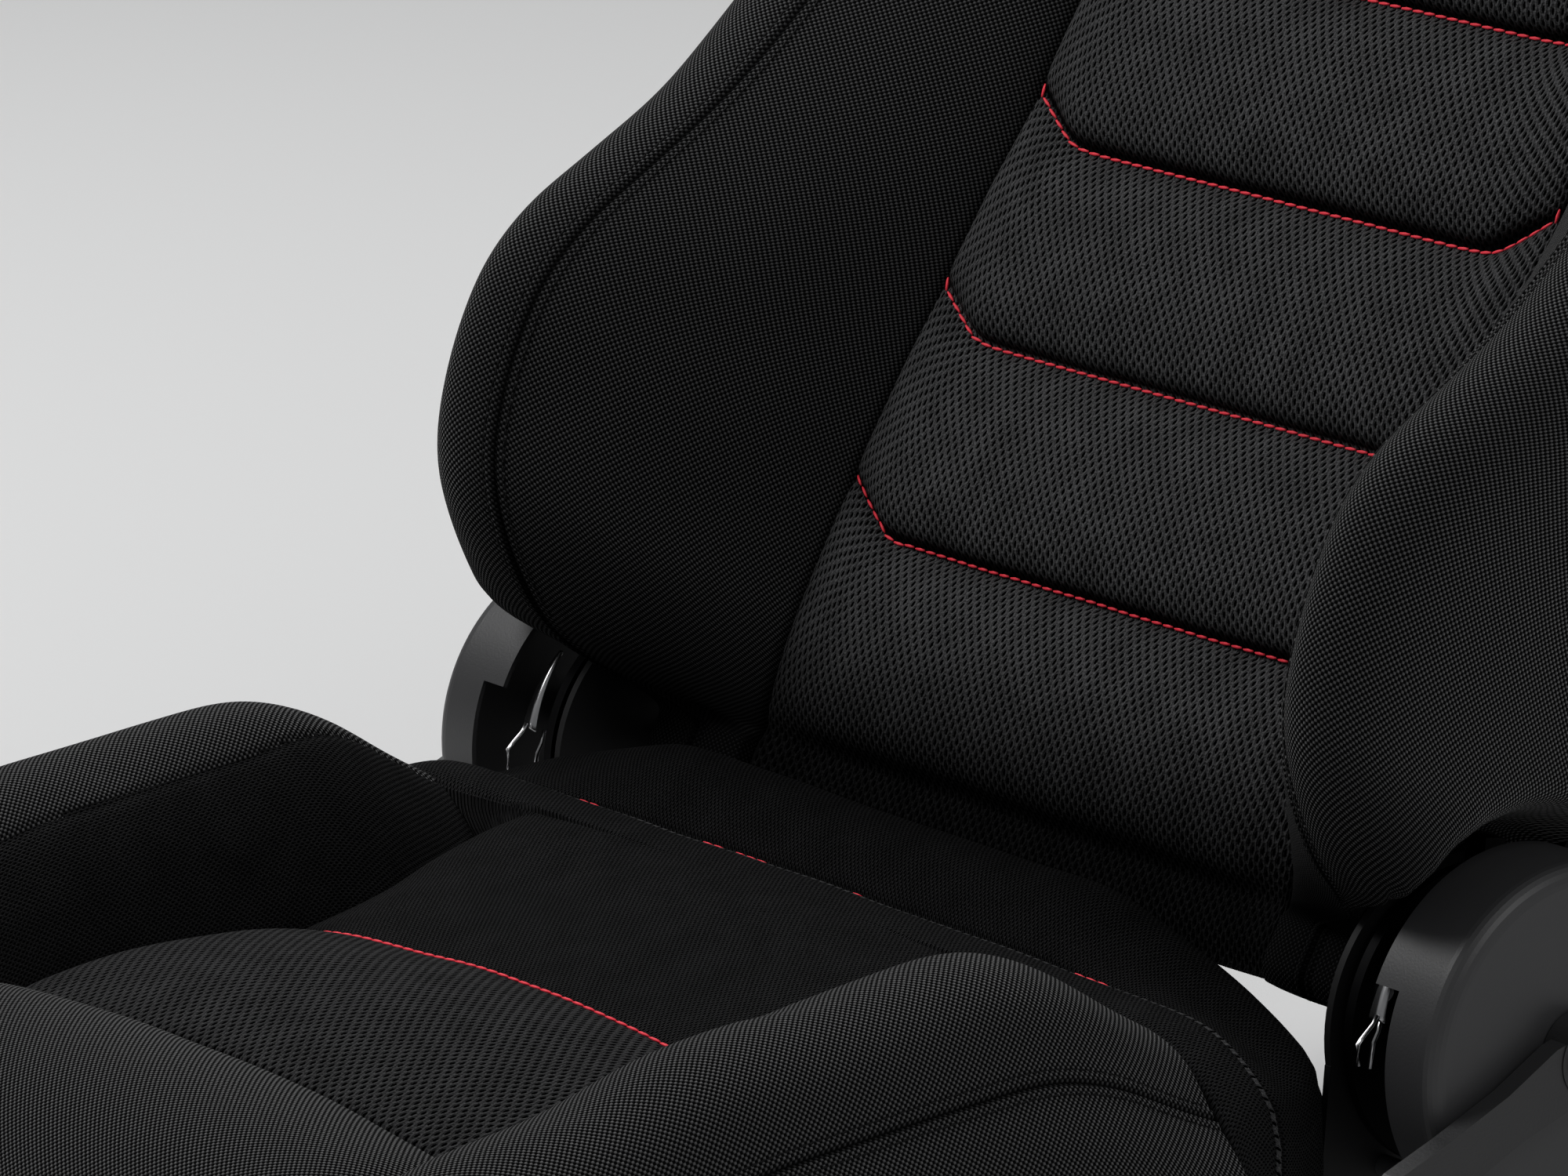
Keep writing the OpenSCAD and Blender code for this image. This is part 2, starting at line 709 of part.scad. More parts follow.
module arm_rivets() {
    rivet_r = 4;
    color("silver") back() for (side = [0, 1]) mirror([side, 0, 0]) {
        for (g = [-98, 22, 142])
            rod_x(arm_out, arm_out + 2, disc_r * 0.8 * sin(g), disc_r * 0.8 * cos(g), rivet_r);
        for (w = [110, 165]) rod_x(arm_out, arm_out + 2, -post_v, w, rivet_r);
    }
}

module back_post_left() {
    color("#28282a") back() translate([post_x, -post_v, 62]) difference() {
        cylinder(h = post_top - 62 + post_r, r = post_r);
        translate([0, 0, -1]) cylinder(h = post_top - 61 - post_r - 1, r = post_r - tube_wall);
    }
}

module back_post_right() {
    other_side() back_post_left();
}

module back_top_tube() {
    color("#28282a") back() tube_x(post_r - post_x, post_x - post_r, -post_v, post_top, post_r - 1);
}

module back_low_tube() {
    color("#28282a") back() tube_x(post_r - post_x, post_x - post_r, -post_v, 112, post_r - 1);
}

module back_webbing() {
    strap_w = 48;
    first = 160;
    pitch = (post_top - first - strap_w - 50) / 3;
    color("#202024") back() for (k = [0:3])
        translate([-post_x, back_rear + soft_gap, first + k * pitch])
            cube([2 * post_x, -post_v - post_r - back_rear - 2 * soft_gap, strap_w]);
}

module head_spine() {
    color("#28282a") back()
        translate([-slot_x + slot_w / 2 + 6, -post_v - 2, post_top + post_r - 1 + soft_gap])
        cube([2 * (slot_x - slot_w / 2 - 6), 4, slot_h + 14]);
}

module head_plate() {
    plate_w = 144;
    color("#28282a") back()
        translate([-plate_w / 2, -post_v - 2, post_top + post_r - 1 + 2 * soft_gap + slot_h + 14])
        cube([plate_w, 4, back_l - post_top - slot_h - 60]);
}

// ---- Backrest padding: rings are drawn as [x, -v, w] ----

back_halves = [[12, 0], [70, 4], [124, 6], [205, 2], [291, -5], [400, -9], [480, -10]];

function insert_edge(w) = back_half + smooth(back_halves, w);

// Rise of a channel's ends at the sides of the insert, faded out at the foot and the top
function channel_rise(u, x, half) = channel_bend * max(0, abs(x) - half + 30)
    * min(1, max(0, (u - 12) / 50)) * min(1, max(0, (insert_top - u) / 40));

function channel_bulge(u) = groove_d * 1.6 * abs(sin(180 * (u - channel_first) / channel_pitch)) ^ 0.55;

module back_insert() {
    marks = [0, 5, 20, 42, 64, 79];
    stops = concat([-lip, 3 - lip, 11, 15, 28, 55, channel_first - 20, channel_first - 5],
        [for (c = [0:channels - 2], m = marks) channel_first + (c + m / 84) * channel_pitch],
        [for (m = [0, 5, 20, 36]) channel_first + (channels - 1 + m / 84) * channel_pitch],
        [insert_top]);
    color("#343436") back() skin([for (u = stops)
        let (half = insert_edge(u + channel_rise(u, 30, 30)) - soft_gap,
             start = u < 2 - lip ? 9 : u < 28 ? 3 : 0,
             face = back_face - groove_d * 0.6 + channel_bulge(max(u, 15)) - start)
        concat(
            [for (t = [-1, -0.97, -0.9, -0.8, -0.5, 0, 0.5, 0.8, 0.9, 0.97, 1])
                let (x = t * half) [x, -(face - 4 * t ^ 14), u + channel_rise(u, x, half)]],
            [for (t = [1, 0.96, 0.9, 0, -0.9, -0.96, -1])
                let (x = t * half, deep = u < 12 ? -lip_front : abs(t) == 1 ? back_rear - 6 : back_rear)
                [x, deep, u + channel_rise(u, x, half)]])]);
}

// How far the bolster reaches forward at height w, as a share of its full depth
bolster_depths = [[14, 0.36], [18, 0.47], [25, 0.6], [40, 0.76], [58, 0.88], [78, 0.95], [108, 0.995],
    [137, 1], [166, 0.945], [196, 0.84], [231, 0.715], [269, 0.615], [320, 0.53], [390, 0.48]];

function back_ring(w, p, a, o, rear) = let (k = (o - a) / 112, f = back_face, h = p - f)
    [for (q = round_ring([[a, f - 14], [a + 8 * k, f + h * 0.1], [a + 34 * k, f + h * 0.55],
        [a + 66 * k, f + h * 0.92], [a + 87 * k, f + h], [a + 104 * k, f + h * 0.84],
        [o, f + h * 0.45], [o, f * 0.4], [o - 6 * k, -rear + 3], [o - 24 * k, -rear],
        [a + 20 * k, -rear], [a, -rear + 5]], 2))
        [min(max(q[0], a), o), -max(q[1], -rear), w]];

// Ring of the bolster's foot, a flap in front of the cross shaft, beside the insert's own lip
function lip_ring(w) = let (a = insert_edge(w), o = side_x - 13, r = lip_front, f = back_face)
    [for (q = round_ring([[a, f - 4], [a + 6, f - 1], [a + 14, f], [a + 25, f], [a + 36, f], [o - 6, f - 1],
        [o, f - 5], [o, r + 4], [o - 3, r + 1], [o - 10, r], [a + 12, r], [a, r + 3]], 2))
        [min(max(q[0], a), o), -max(q[1], r), w]];

module back_bolster_left() {
    color("#151517") back() difference() {
        skin(concat([lip_ring(-lip), lip_ring(11)],
            [for (q = bolster_depths)
                let (w = q[0] < 232 ? q[0] : 231 + (q[0] - 231) * (wing_bottom - 231) / 159)
                back_ring(w, back_bolster_d * q[1], insert_edge(w), bolster_out, back_rear)]));
        rod_x(arm_in - 8, bolster_out + 1, 0, 0, clear_r);
    }
}

module back_bolster_right() {
    other_side() back_bolster_left();
}

// Wing places above its foot: [height, forward reach, outer edge less the bolster's, inner edge]
wings = [[0, 76, 0, 0], [24, 82, 1, 0], [62, 100, -1, 0], [100, 112, -8, 0], [138, 108, -22, -1],
    [172, 92, -44, -4], [200, 74, -66, -7], [220, 58, -84, -10], [232, 46, -96, -14]];

module shoulder_wing_left() {
    color("#151517") back() skin([for (q = wings)
        let (w = wing_bottom + 0.6 + q[0])
        back_ring(w, q[1], insert_edge(min(w, insert_top)) + q[3] + soft_gap, bolster_out + q[2],
            back_rear)]);
}

module shoulder_wing_right() {
    other_side() shoulder_wing_left();
}

// Head pad places above the back insert: [share of its height, half width less, face]
heads = [[0, 0, 26], [0.03, 0, 31], [0.2, 0, 33], [0.45, 1, 33], [0.56, 8, 38], [0.7, 14, 47], [0.82, 22, 49],
    [0.91, 38, 44], [0.97, 60, 33], [1, 84, 18]];

module harness_hole(extra) {
    side = [slot_w + 4 + 2 * extra, slot_h + 4 + 2 * extra];
    translate([slot_x - side[0] / 2, -100, slot_mid - side[1] / 2]) cube([side[0], 200, side[1]]);
}

module head_pad() {
    foot = insert_top + 0.6;
    color("#1a1a1c") back() difference() {
        skin([for (q = heads)
            let (w = foot + q[0] * (back_l - foot),
                 half = insert_edge(insert_top) - q[1] - 15 * min(1, q[0] * 2))
            concat([for (t = [-1, -0.97, -0.9, -0.7, -0.35, 0, 0.35, 0.7, 0.9, 0.97, 1])
                [t * half, -(q[2] - 4 * t ^ 2 - 10 * t ^ 14), w]],
                [for (t = [1, 0.95, 0, -0.95, -1]) [t * half, abs(t) == 1 ? back_rear - 6 : back_rear, w]])]);
        harness_hole(0.1);
        other_side() harness_hole(0.1);
    }
}

module harness_bezel_left() {
    flange = 6;
    face = back_face + 4;
    color("#101012") back() difference() {
        union() {
            translate([slot_x - slot_w / 2 - 2, -face, slot_mid - slot_h / 2 - 2])
                cube([slot_w + 4, face - shell_v + shell_t, slot_h + 4]);
            translate([slot_x - slot_w / 2 - flange, -face - 3, slot_mid - slot_h / 2 - flange])
                cube([slot_w + 2 * flange, 3, slot_h + 2 * flange]);
        }
        translate([slot_x - slot_w / 2, -100, slot_mid - slot_h / 2]) cube([slot_w, 200, slot_h]);
    }
}

module harness_bezel_right() {
    other_side() harness_bezel_left();
}

// Half outline of the shell as [x, w], from its foot to its top
function shell_side(inset) = [
    [post_x - post_r - 8 - inset, 30 + inset], [post_x - post_r - 8 - inset, 82 + inset],
    [bolster_out - 14 - inset, 82 + inset], [bolster_out - 8 - inset, 110],
    [bolster_out - 8 - inset, wing_bottom + 70], [bolster_out - 16 - inset, wing_bottom + 110],
    [bolster_out - 34 - inset, wing_bottom + 145], [bolster_out - 62 - inset, wing_bottom + 180],
    [bolster_out - 96 - inset, wing_bottom + 212], [bolster_out - 136 - inset, wing_bottom + 236],
    [bolster_out - 148 - inset, wing_bottom + 262], [bolster_out - 154 - inset, back_l - 70],
    [bolster_out - 170 - inset, back_l - 38 - inset], [bolster_out - 194 - inset, back_l - 18 - inset],
    [bolster_out - 218 - inset, back_l - 12 - inset]];

module shell_outline(inset) {
    half = shell_side(inset);
    polygon(concat(half, [for (k = [len(half) - 1:-1:0]) [-half[k][0], half[k][1]]]));
}

module back_shell() {
    wrap = -shell_v - back_rear - soft_gap;
    color("#1e1e20") back() difference() {
        translate([0, -shell_v + shell_t, 0]) rotate([90, 0, 0]) linear_extrude(height = wrap + shell_t)
            shell_outline(0);
        translate([0, -shell_v, 0]) rotate([90, 0, 0]) linear_extrude(height = wrap + 1)
            shell_outline(shell_t);
        for (side = [0, 1]) mirror([side, 0, 0])
            translate([post_x - post_r - 1, back_rear - 1, 78])
                cube([arm_out - post_x + post_r + 2, -shell_v - back_rear + 1, 10]);
        harness_hole(0.1);
        other_side() harness_hole(0.1);
    }
}

lower_rail_left();
lower_rail_right();
upper_rail_left();
upper_rail_right();
rail_glides();
release_bar();
front_brackets();
rear_brackets();
side_plate_left();
side_plate_right();
front_tube();
rear_tube();
cushion_springs();
frame_bolts();
cushion_insert();
cushion_nose();
cushion_bolster_left();
cushion_bolster_right();
recliner_disc_left();
recliner_disc_right();
recliner_keepers();
spiral_spring_left();
spiral_spring_right();
recliner_cover_left();
recliner_cover_right();
cross_shaft();
recline_lever_left();
recline_lever_right();
lever_caps();
recliner_arm_left();
recliner_arm_right();
arm_rivets();
back_post_left();
back_post_right();
back_top_tube();
back_low_tube();
back_webbing();
head_spine();
head_plate();
back_insert();
back_bolster_left();
back_bolster_right();
shoulder_wing_left();
shoulder_wing_right();
head_pad();
harness_bezel_left();
harness_bezel_right();
back_shell();
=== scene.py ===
# %% [markdown]
# # A reclining bucket seat
#
# The rails, frame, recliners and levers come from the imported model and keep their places. This file dresses
# them: it sews the padding, adds the threads, paints each part and lights the seat. The frame is loaded
# first, and its box is kept, so that the dressed seat can be measured against it at the end.

import json
import math

import bmesh
import bpy
import numpy as np
from mathutils import Matrix, Quaternion, Vector, noise
from mathutils.bvhtree import BVHTree


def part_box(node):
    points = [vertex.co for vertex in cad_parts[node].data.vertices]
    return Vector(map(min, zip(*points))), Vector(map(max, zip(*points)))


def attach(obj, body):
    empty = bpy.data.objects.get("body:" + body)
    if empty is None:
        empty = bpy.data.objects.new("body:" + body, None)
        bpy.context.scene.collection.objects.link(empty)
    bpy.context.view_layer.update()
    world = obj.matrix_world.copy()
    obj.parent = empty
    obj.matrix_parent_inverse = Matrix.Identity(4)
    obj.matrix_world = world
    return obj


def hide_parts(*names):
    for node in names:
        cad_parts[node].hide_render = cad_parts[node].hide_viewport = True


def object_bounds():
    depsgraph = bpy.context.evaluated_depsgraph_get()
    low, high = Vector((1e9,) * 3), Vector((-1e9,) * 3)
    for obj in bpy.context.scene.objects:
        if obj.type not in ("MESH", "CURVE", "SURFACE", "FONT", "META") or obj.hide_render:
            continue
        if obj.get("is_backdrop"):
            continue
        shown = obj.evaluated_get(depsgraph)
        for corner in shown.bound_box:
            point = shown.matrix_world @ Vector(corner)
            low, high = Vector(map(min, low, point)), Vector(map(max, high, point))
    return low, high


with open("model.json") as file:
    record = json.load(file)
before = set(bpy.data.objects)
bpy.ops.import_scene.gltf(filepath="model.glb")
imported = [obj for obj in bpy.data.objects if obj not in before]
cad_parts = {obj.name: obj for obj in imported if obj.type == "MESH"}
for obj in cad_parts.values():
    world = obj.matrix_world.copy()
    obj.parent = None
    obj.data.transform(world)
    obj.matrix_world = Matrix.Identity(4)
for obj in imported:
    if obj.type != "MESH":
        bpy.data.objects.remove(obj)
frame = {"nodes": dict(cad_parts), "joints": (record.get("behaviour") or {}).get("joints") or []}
cad_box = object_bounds()
print("frame:", len(frame["nodes"]), "nodes,", [round(high - low, 3) for low, high in zip(*cad_box)], "m")

# %% [markdown]
# ## Camera
#
# A long lens from a few metres away keeps the near bolster and the far one nearly the same size. The camera
# looks at the crease where the back meets the cushion.

# %% Camera
camera_target = Vector((0.0, 0.0487, 0.3076))
camera_azimuth, camera_elevation, camera_distance = math.radians(50), math.radians(15.4), 3.514
camera_data = bpy.data.cameras.new("camera")
camera_data.lens, camera_data.sensor_width = 221, 36
camera = bpy.data.objects.new("camera", camera_data)
camera.location = camera_target + camera_distance * Vector((
    math.sin(camera_azimuth) * math.cos(camera_elevation),
    -math.cos(camera_azimuth) * math.cos(camera_elevation),
    math.sin(camera_elevation)))
camera.rotation_euler = (camera_target - camera.location).to_track_quat("-Z", "Y").to_euler()
bpy.context.scene.collection.objects.link(camera)
bpy.context.scene.camera = camera
print("camera at", [round(x, 3) for x in camera.location])

# %% [markdown]
# ## Patterns for the padding
#
# A sewn cover is drawn as a row of cross sections. Each section follows a few short tables: how deep a
# bolster is at each height, how wide the insert is, how high the cushion stands. Tables are in millimetres,
# and a curve runs smoothly through them, because foam has no corners.

# %% Curves through tables
MM = 0.001


def smooth(table, place):
    """Value of a rising table of (place, value) pairs, with an even slope through each pair."""
    last = len(table) - 1
    if place <= table[0][0]:
        return table[0][1]
    if place >= table[last][0]:
        return table[last][1]
    i = next(k for k in range(last) if place <= table[k + 1][0])

    def slope(k):
        a, b = table[max(k - 1, 0)], table[min(k + 1, last)]
        return (b[1] - a[1]) / (b[0] - a[0])

    step = table[i + 1][0] - table[i][0]
    u = (place - table[i][0]) / step
    return ((2 * u**3 - 3 * u**2 + 1) * table[i][1] + (u**3 - 2 * u**2 + u) * slope(i) * step
            + (3 * u**2 - 2 * u**3) * table[i + 1][1] + (u**3 - u**2) * slope(i + 1) * step)


def round_ring(corners, steps):
    """Closed smooth curve through the corners of a cross section."""
    count, ring = len(corners), []
    for i in range(count):
        a, b, c, d = (Vector(corners[(i + k) % count]) for k in (-1, 0, 1, 2))
        for u in (k / steps for k in range(steps)):
            ring.append(0.5 * (2 * b + (c - a) * u + (2 * a - 5 * b + 4 * c - d) * u**2
                               + (3 * b - a - 3 * c + d) * u**3))
    return ring


def fade(x, start, end):
    """0 before start, 1 after end, and smooth between."""
    t = min(1.0, max(0.0, (x - start) / (end - start)))
    return t * t * (3 - 2 * t)


def bell(x, width):
    """1 at x = 0, falling to nothing some two widths away on either side."""
    return np.exp(-(x / width) ** 2)


print("halfway from 0 to 10:", smooth([(0, 0), (1, 10)], 0.5))

# %% [markdown]
# ## From sections to a skin
#
# A circle of edges is the first section. Extruding its edges and moving the new points to the next section
# grows the skin row by row, and the two open ends are filled. Each point remembers its row and column, so the
# cloth can have a UV map in metres: across from the sewn seam, and along the seam. Two attributes stay on the
# points, the distance to the seam and the station along the piece, and later steps read them to press in
# seams and channels.

# %% Skin through sections
def dome(ring, direction, rise):
    """Shrinking sections that round off an open end."""
    middle = sum(ring, Vector()) / len(ring)
    return [[middle + (p - middle) * s + direction * rise * math.sqrt(1 - s * s) for p in ring]
            for s in (0.985, 0.94, 0.86, 0.74, 0.56, 0.3)]


def new_piece(name, bm):
    """Object with the bmesh as its mesh."""
    mesh = bpy.data.meshes.new(name)
    bm.to_mesh(mesh)
    bm.free()
    piece = bpy.data.objects.new(name, mesh)
    bpy.context.scene.collection.objects.link(piece)
    return piece


def same_order(bm):
    """Sorts edges and faces by their points, because an extrusion makes them in another order on each run."""
    bm.verts.index_update()
    for parts in (bm.edges, bm.faces):
        for k, part in enumerate(sorted(parts, key=lambda part: sorted(vert.index for vert in part.verts))):
            part.index = k
        parts.sort()


def skin(name, rings, seam, wrap, stations):
    """Closed skin through rings of equal count, in metres, cut open for its UV map at the wrap column."""
    count = len(rings[0])
    rings = [ring[wrap:] + ring[:wrap] for ring in rings]
    seam = (seam - wrap) % count
    bm = bmesh.new()
    column, row = bm.verts.layers.int.new("column"), bm.verts.layers.int.new("row")
    seam_away, station = bm.verts.layers.float.new("seam_away"), bm.verts.layers.float.new("station")
    bmesh.ops.create_circle(bm, segments=count, radius=1)
    for k, vert in enumerate(bm.verts):
        vert[column] = k
    edge_loops = [list(bm.edges)]
    for k in range(1, len(rings)):
        made = bmesh.ops.extrude_edge_only(bm, edges=edge_loops[-1])["geom"]
        fresh = {g for g in made if isinstance(g, bmesh.types.BMVert)}
        for vert in fresh:
            vert[row] = k
        edge_loops.append([g for g in made if isinstance(g, bmesh.types.BMEdge) and set(g.verts) <= fresh])
    for end in (edge_loops[0], edge_loops[-1]):
        bmesh.ops.edgeloop_fill(bm, edges=end)
    across, along = [], [0.0]
    for k, ring in enumerate(rings):
        lengths = np.cumsum([0] + [(ring[(j + 1) % count] - ring[j]).length for j in range(count)])
        across.append(lengths - lengths[seam])
        if k:
            along.append(along[-1] + (ring[seam] - rings[k - 1][seam]).length)
    for vert in bm.verts:
        vert.co = rings[vert[row]][vert[column]]
        vert[seam_away] = abs(across[vert[row]][vert[column]])
        vert[station] = stations[vert[row]]
    uv = bm.loops.layers.uv.new("cloth")
    for face in bm.faces:
        columns = [vert[column] for vert in face.verts]
        split = max(columns) - min(columns) > count / 2
        for loop in face.loops:
            k, j = loop.vert[row], loop.vert[column]
            loop[uv].uv = (across[k][count if split and j == 0 else j], along[k])
        face.smooth = True
    bmesh.ops.recalc_face_normals(bm, faces=bm.faces)
    same_order(bm)
    return new_piece(name, bm)


print("skins are ready to sew")

# %% Read and move a piece's points
def settle(piece):
    """Makes the piece's modifiers part of its mesh."""
    view = bpy.context.evaluated_depsgraph_get()
    mesh = bpy.data.meshes.new_from_object(piece.evaluated_get(view), preserve_all_data_layers=True,
                                           depsgraph=view)
    piece.modifiers.clear()
    old, piece.data = piece.data, mesh
    bpy.data.meshes.remove(old)
    mesh.name = piece.name


def points_of(piece):
    co = np.zeros(len(piece.data.vertices) * 3)
    piece.data.vertices.foreach_get("co", co)
    return co.reshape(-1, 3)


def normals_of(piece):
    directions = np.zeros(len(piece.data.vertices) * 3)
    piece.data.vertices.foreach_get("normal", directions)
    return directions.reshape(-1, 3)


def values_of(piece, attribute):
    values = np.zeros(len(piece.data.vertices))
    piece.data.attributes[attribute].data.foreach_get("value", values)
    return values


def move_points(piece, co):
    piece.data.vertices.foreach_set("co", co.ravel())
    piece.data.update()


print("points can be read and moved")

# %% [markdown]
# ## Filling the covers
#
# A cover is cut a little small and the foam fills it until the cloth is tight between its seams. Cloth
# simulation does the same: a little pressure from inside, no weight, and the seams, channels and hidden edges
# held still. A cap on how far a point may move keeps the padding inside the space that the frame gives it.
# After that, one or two subdivisions make the skin fine enough for seams of a few millimetres.

# %% Fill and refine
def fill(piece, held, most):
    """Swells the piece by cloth simulation; held is 1 where a point stays, and most is the cap in metres."""
    scene, last_frame = bpy.context.scene, 20
    pins = piece.vertex_groups.new(name="held")
    for index in np.nonzero(held)[0]:
        pins.add([int(index)], 1.0, "REPLACE")
    cloth = piece.modifiers.new("foam", "CLOTH")
    cloth.settings.quality = 4
    cloth.settings.use_pressure = True
    cloth.settings.uniform_pressure_force = 4.0
    cloth.settings.effector_weights.gravity = 0
    cloth.settings.vertex_group_mass = "held"
    cloth.point_cache.frame_start, cloth.point_cache.frame_end = 1, last_frame
    before = points_of(piece)
    for step in range(1, last_frame + 1):
        scene.frame_set(step)
    view = bpy.context.evaluated_depsgraph_get()
    swollen = piece.evaluated_get(view).to_mesh()
    after = np.zeros(before.size)
    swollen.vertices.foreach_get("co", after)
    piece.modifiers.clear()
    scene.frame_set(1)
    shift = after.reshape(-1, 3) - before
    size = np.linalg.norm(shift, axis=1)
    shift *= np.minimum(1, most / np.maximum(size, 1e-9))[:, None]
    move_points(piece, before + shift)
    piece.vertex_groups.clear()
    return float(size.max())


def refine(piece, levels):
    subdivision = piece.modifiers.new("finer", "SUBSURF")
    subdivision.levels = subdivision.render_levels = levels
    settle(piece)


def press(piece, relief, wave, height, seed):
    """Moves each point along its normal, by a relief that is less than zero in a groove and by soft puckers."""
    co, out = points_of(piece), normals_of(piece)
    puckers = [height * noise.noise(Vector(p) / wave + Vector((seed, seed, seed))) for p in co]
    move_points(piece, co + out * (relief + np.array(puckers))[:, None])


print("simulation is", "on")

# %% [markdown]
# ## Finishes
#
# Every finish is a small node tree. Metals and plastics read Object coordinates for their fine grain. Cloth
# reads its own UV map in metres, so that a yarn is the same size on every panel and follows the panel round
# its curves.

# %% Node helpers
def finish(name, colour, roughness, metallic=0.0, gloss=0.5):
    """A new material, its node tree and its shader."""
    material = bpy.data.materials.new(name)
    material.use_nodes = True
    shader = material.node_tree.nodes["Principled BSDF"]
    shader.inputs["Base Color"].default_value = (*colour, 1)
    shader.inputs["Roughness"].default_value = roughness
    shader.inputs["Metallic"].default_value = metallic
    shader.inputs["Specular IOR Level"].default_value = gloss
    return material, material.node_tree, shader


def maths(tree, operation, *values):
    node = tree.nodes.new("ShaderNodeMath")
    node.operation = operation
    for socket, value in zip(node.inputs, values):
        if isinstance(value, (int, float)):
            socket.default_value = value
        else:
            tree.links.new(value, socket)
    return node.outputs[0]


def ramp(tree, value, start, end, low=0.0, high=1.0):
    node = tree.nodes.new("ShaderNodeMapRange")
    node.interpolation_type = "SMOOTHSTEP"
    for socket, number in zip(node.inputs[1:5], (start, end, low, high)):
        socket.default_value = number
    tree.links.new(value, node.inputs[0])
    return node.outputs[0]


def blend_colours(tree, factor, first, second):
    node = tree.nodes.new("ShaderNodeMix")
    node.data_type = "RGBA"
    tree.links.new(factor, node.inputs[0])
    for socket, colour in ((node.inputs[6], first), (node.inputs[7], second)):
        if isinstance(colour, tuple):
            socket.default_value = (*colour, 1)
        else:
            tree.links.new(colour, socket)
    return node.outputs[2]


def grain(tree, source, scale, detail=2.0):
    node = tree.nodes.new("ShaderNodeTexNoise")
    node.inputs["Scale"].default_value = scale
    node.inputs["Detail"].default_value = detail
    tree.links.new(source, node.inputs["Vector"])
    return node.outputs["Fac"]


def coordinates(tree, kind):
    return tree.nodes.new("ShaderNodeTexCoord").outputs[kind]


def cloth_map(tree):
    """The UV map of the cloth, and its two distances: across from the seam, and along it."""
    uv = coordinates(tree, "UV")
    split = tree.nodes.new("ShaderNodeSeparateXYZ")
    tree.links.new(uv, split.inputs[0])
    return uv, split.outputs[0], split.outputs[1]


def painted_shade_nodes(tree):
    """Painted shade from the piece's attribute, and one minus it, which is how much light the cloth keeps."""
    shade_layer = tree.nodes.new("ShaderNodeAttribute")
    shade_layer.attribute_name = "shade_painted"
    return shade_layer.outputs["Fac"], maths(tree, "SUBTRACT", 1.0, shade_layer.outputs["Fac"])


def raise_surface(tree, shader, height, distance, strength=1.0):
    node = tree.nodes.new("ShaderNodeBump")
    node.inputs["Distance"].default_value = distance
    node.inputs["Strength"].default_value = strength
    tree.links.new(height, node.inputs["Height"])
    tree.links.new(node.outputs["Normal"], shader.inputs["Normal"])


def paint_shade(piece, shade_amounts):
    """Writes painted shade at each point, from 0 to 1, which darkens the cloth where it lies in shadow."""
    shade_layer = piece.data.attributes.new("shade_painted", "FLOAT", "POINT")
    shade_layer.data.foreach_set("value", np.clip(shade_amounts, 0, 0.95))


print("node helpers are ready")

# %% [markdown]
# ### Spacer mesh
#
# The inserts wear a knitted spacer mesh: two nets held apart by springy yarn, so that air gets through. Its
# face has rows of oval holes, each row half a step along from the last. Two grids of ellipses, one shifted by
# half a cell, give the nearest hole, and the knit between the holes is a fine uneven grain. The cushion wears
# a closer knit behind its red line, and in front of it the back's open mesh with its yarn darkened as painted
# shade. A piece can also carry an attribute of painted shade, which darkens the cloth and takes its shine away
# where creases and seams lie in shadow.

# %% Spacer mesh
def nearest_hole(tree, across, along, pitches, hole):
    """Distance to the middle of the nearest oval hole, as a share of the hole's half width and half length."""
    grids = []
    for shift in (0.0, 0.5):
        legs = []
        for distance, pitch, radius in zip((across, along), pitches, hole):
            cell = maths(tree, "FRACT", maths(tree, "ADD", maths(tree, "DIVIDE", distance, pitch), shift))
            from_middle = maths(tree, "MULTIPLY", maths(tree, "SUBTRACT", cell, 0.5), pitch / radius)
            legs.append(maths(tree, "POWER", from_middle, 2.0))
        grids.append(maths(tree, "ADD", *legs))
    return maths(tree, "SQRT", maths(tree, "MINIMUM", *grids))


def spacer_mesh(name, yarn, gloss, pitches=(0.0048, 0.0054), hole=(0.00076, 0.0016)):
    material, tree, shader = finish(name, yarn, 0.85)
    uv, across, along = cloth_map(tree)
    away = nearest_hole(tree, across, along, pitches, hole)
    knit, patches = grain(tree, uv, 1500), grain(tree, uv, 60)
    half_knit = maths(tree, "MULTIPLY", knit, 0.5)
    yarns = ramp(tree, maths(tree, "ADD", away, half_knit), 0.95, 1.45)
    worn = ramp(tree, maths(tree, "ADD", knit, maths(tree, "MULTIPLY", patches, 0.25)), 0.45, 0.8)
    light, dark = tuple(c * 2.1 for c in yarn), tuple(c * 0.35 for c in yarn)
    shaded, unshaded = painted_shade_nodes(tree)
    # Painted shade: where the piece's shade attribute is high, the cloth is blended to near black and its shine
    # below is taken away.
    cloth = blend_colours(tree, shaded, blend_colours(tree, worn, dark, light), (0.0006, 0.0006, 0.0006))
    tree.links.new(blend_colours(tree, yarns, (0.0005, 0.0005, 0.0006), cloth), shader.inputs["Base Color"])
    raise_surface(tree, shader, maths(tree, "ADD", ramp(tree, away, 0.9, 2.2), half_knit), 0.001)
    shine = maths(tree, "MULTIPLY", yarns, unshaded)
    tree.links.new(maths(tree, "MULTIPLY", shine, gloss * 0.3), shader.inputs["Sheen Weight"])
    tree.links.new(maths(tree, "MULTIPLY", shine, gloss), shader.inputs["Specular IOR Level"])
    shader.inputs["Sheen Roughness"].default_value = 0.5
    return material


mesh_cloth = spacer_mesh("mesh_cloth", (0.037, 0.037, 0.0385), 0.2)
# Painted shade: the back's open mesh again, with its yarn darkened for the cushion's front.
front_mesh_painted_shade = spacer_mesh("front_mesh_painted_shade", (0.02, 0.02, 0.0208), 0.12)
fine_mesh = spacer_mesh("fine_mesh", (0.0105, 0.0105, 0.011), 0.08, (0.0022, 0.0027), (0.00036, 0.0008))
print("made", mesh_cloth.name, front_mesh_painted_shade.name, fine_mesh.name)

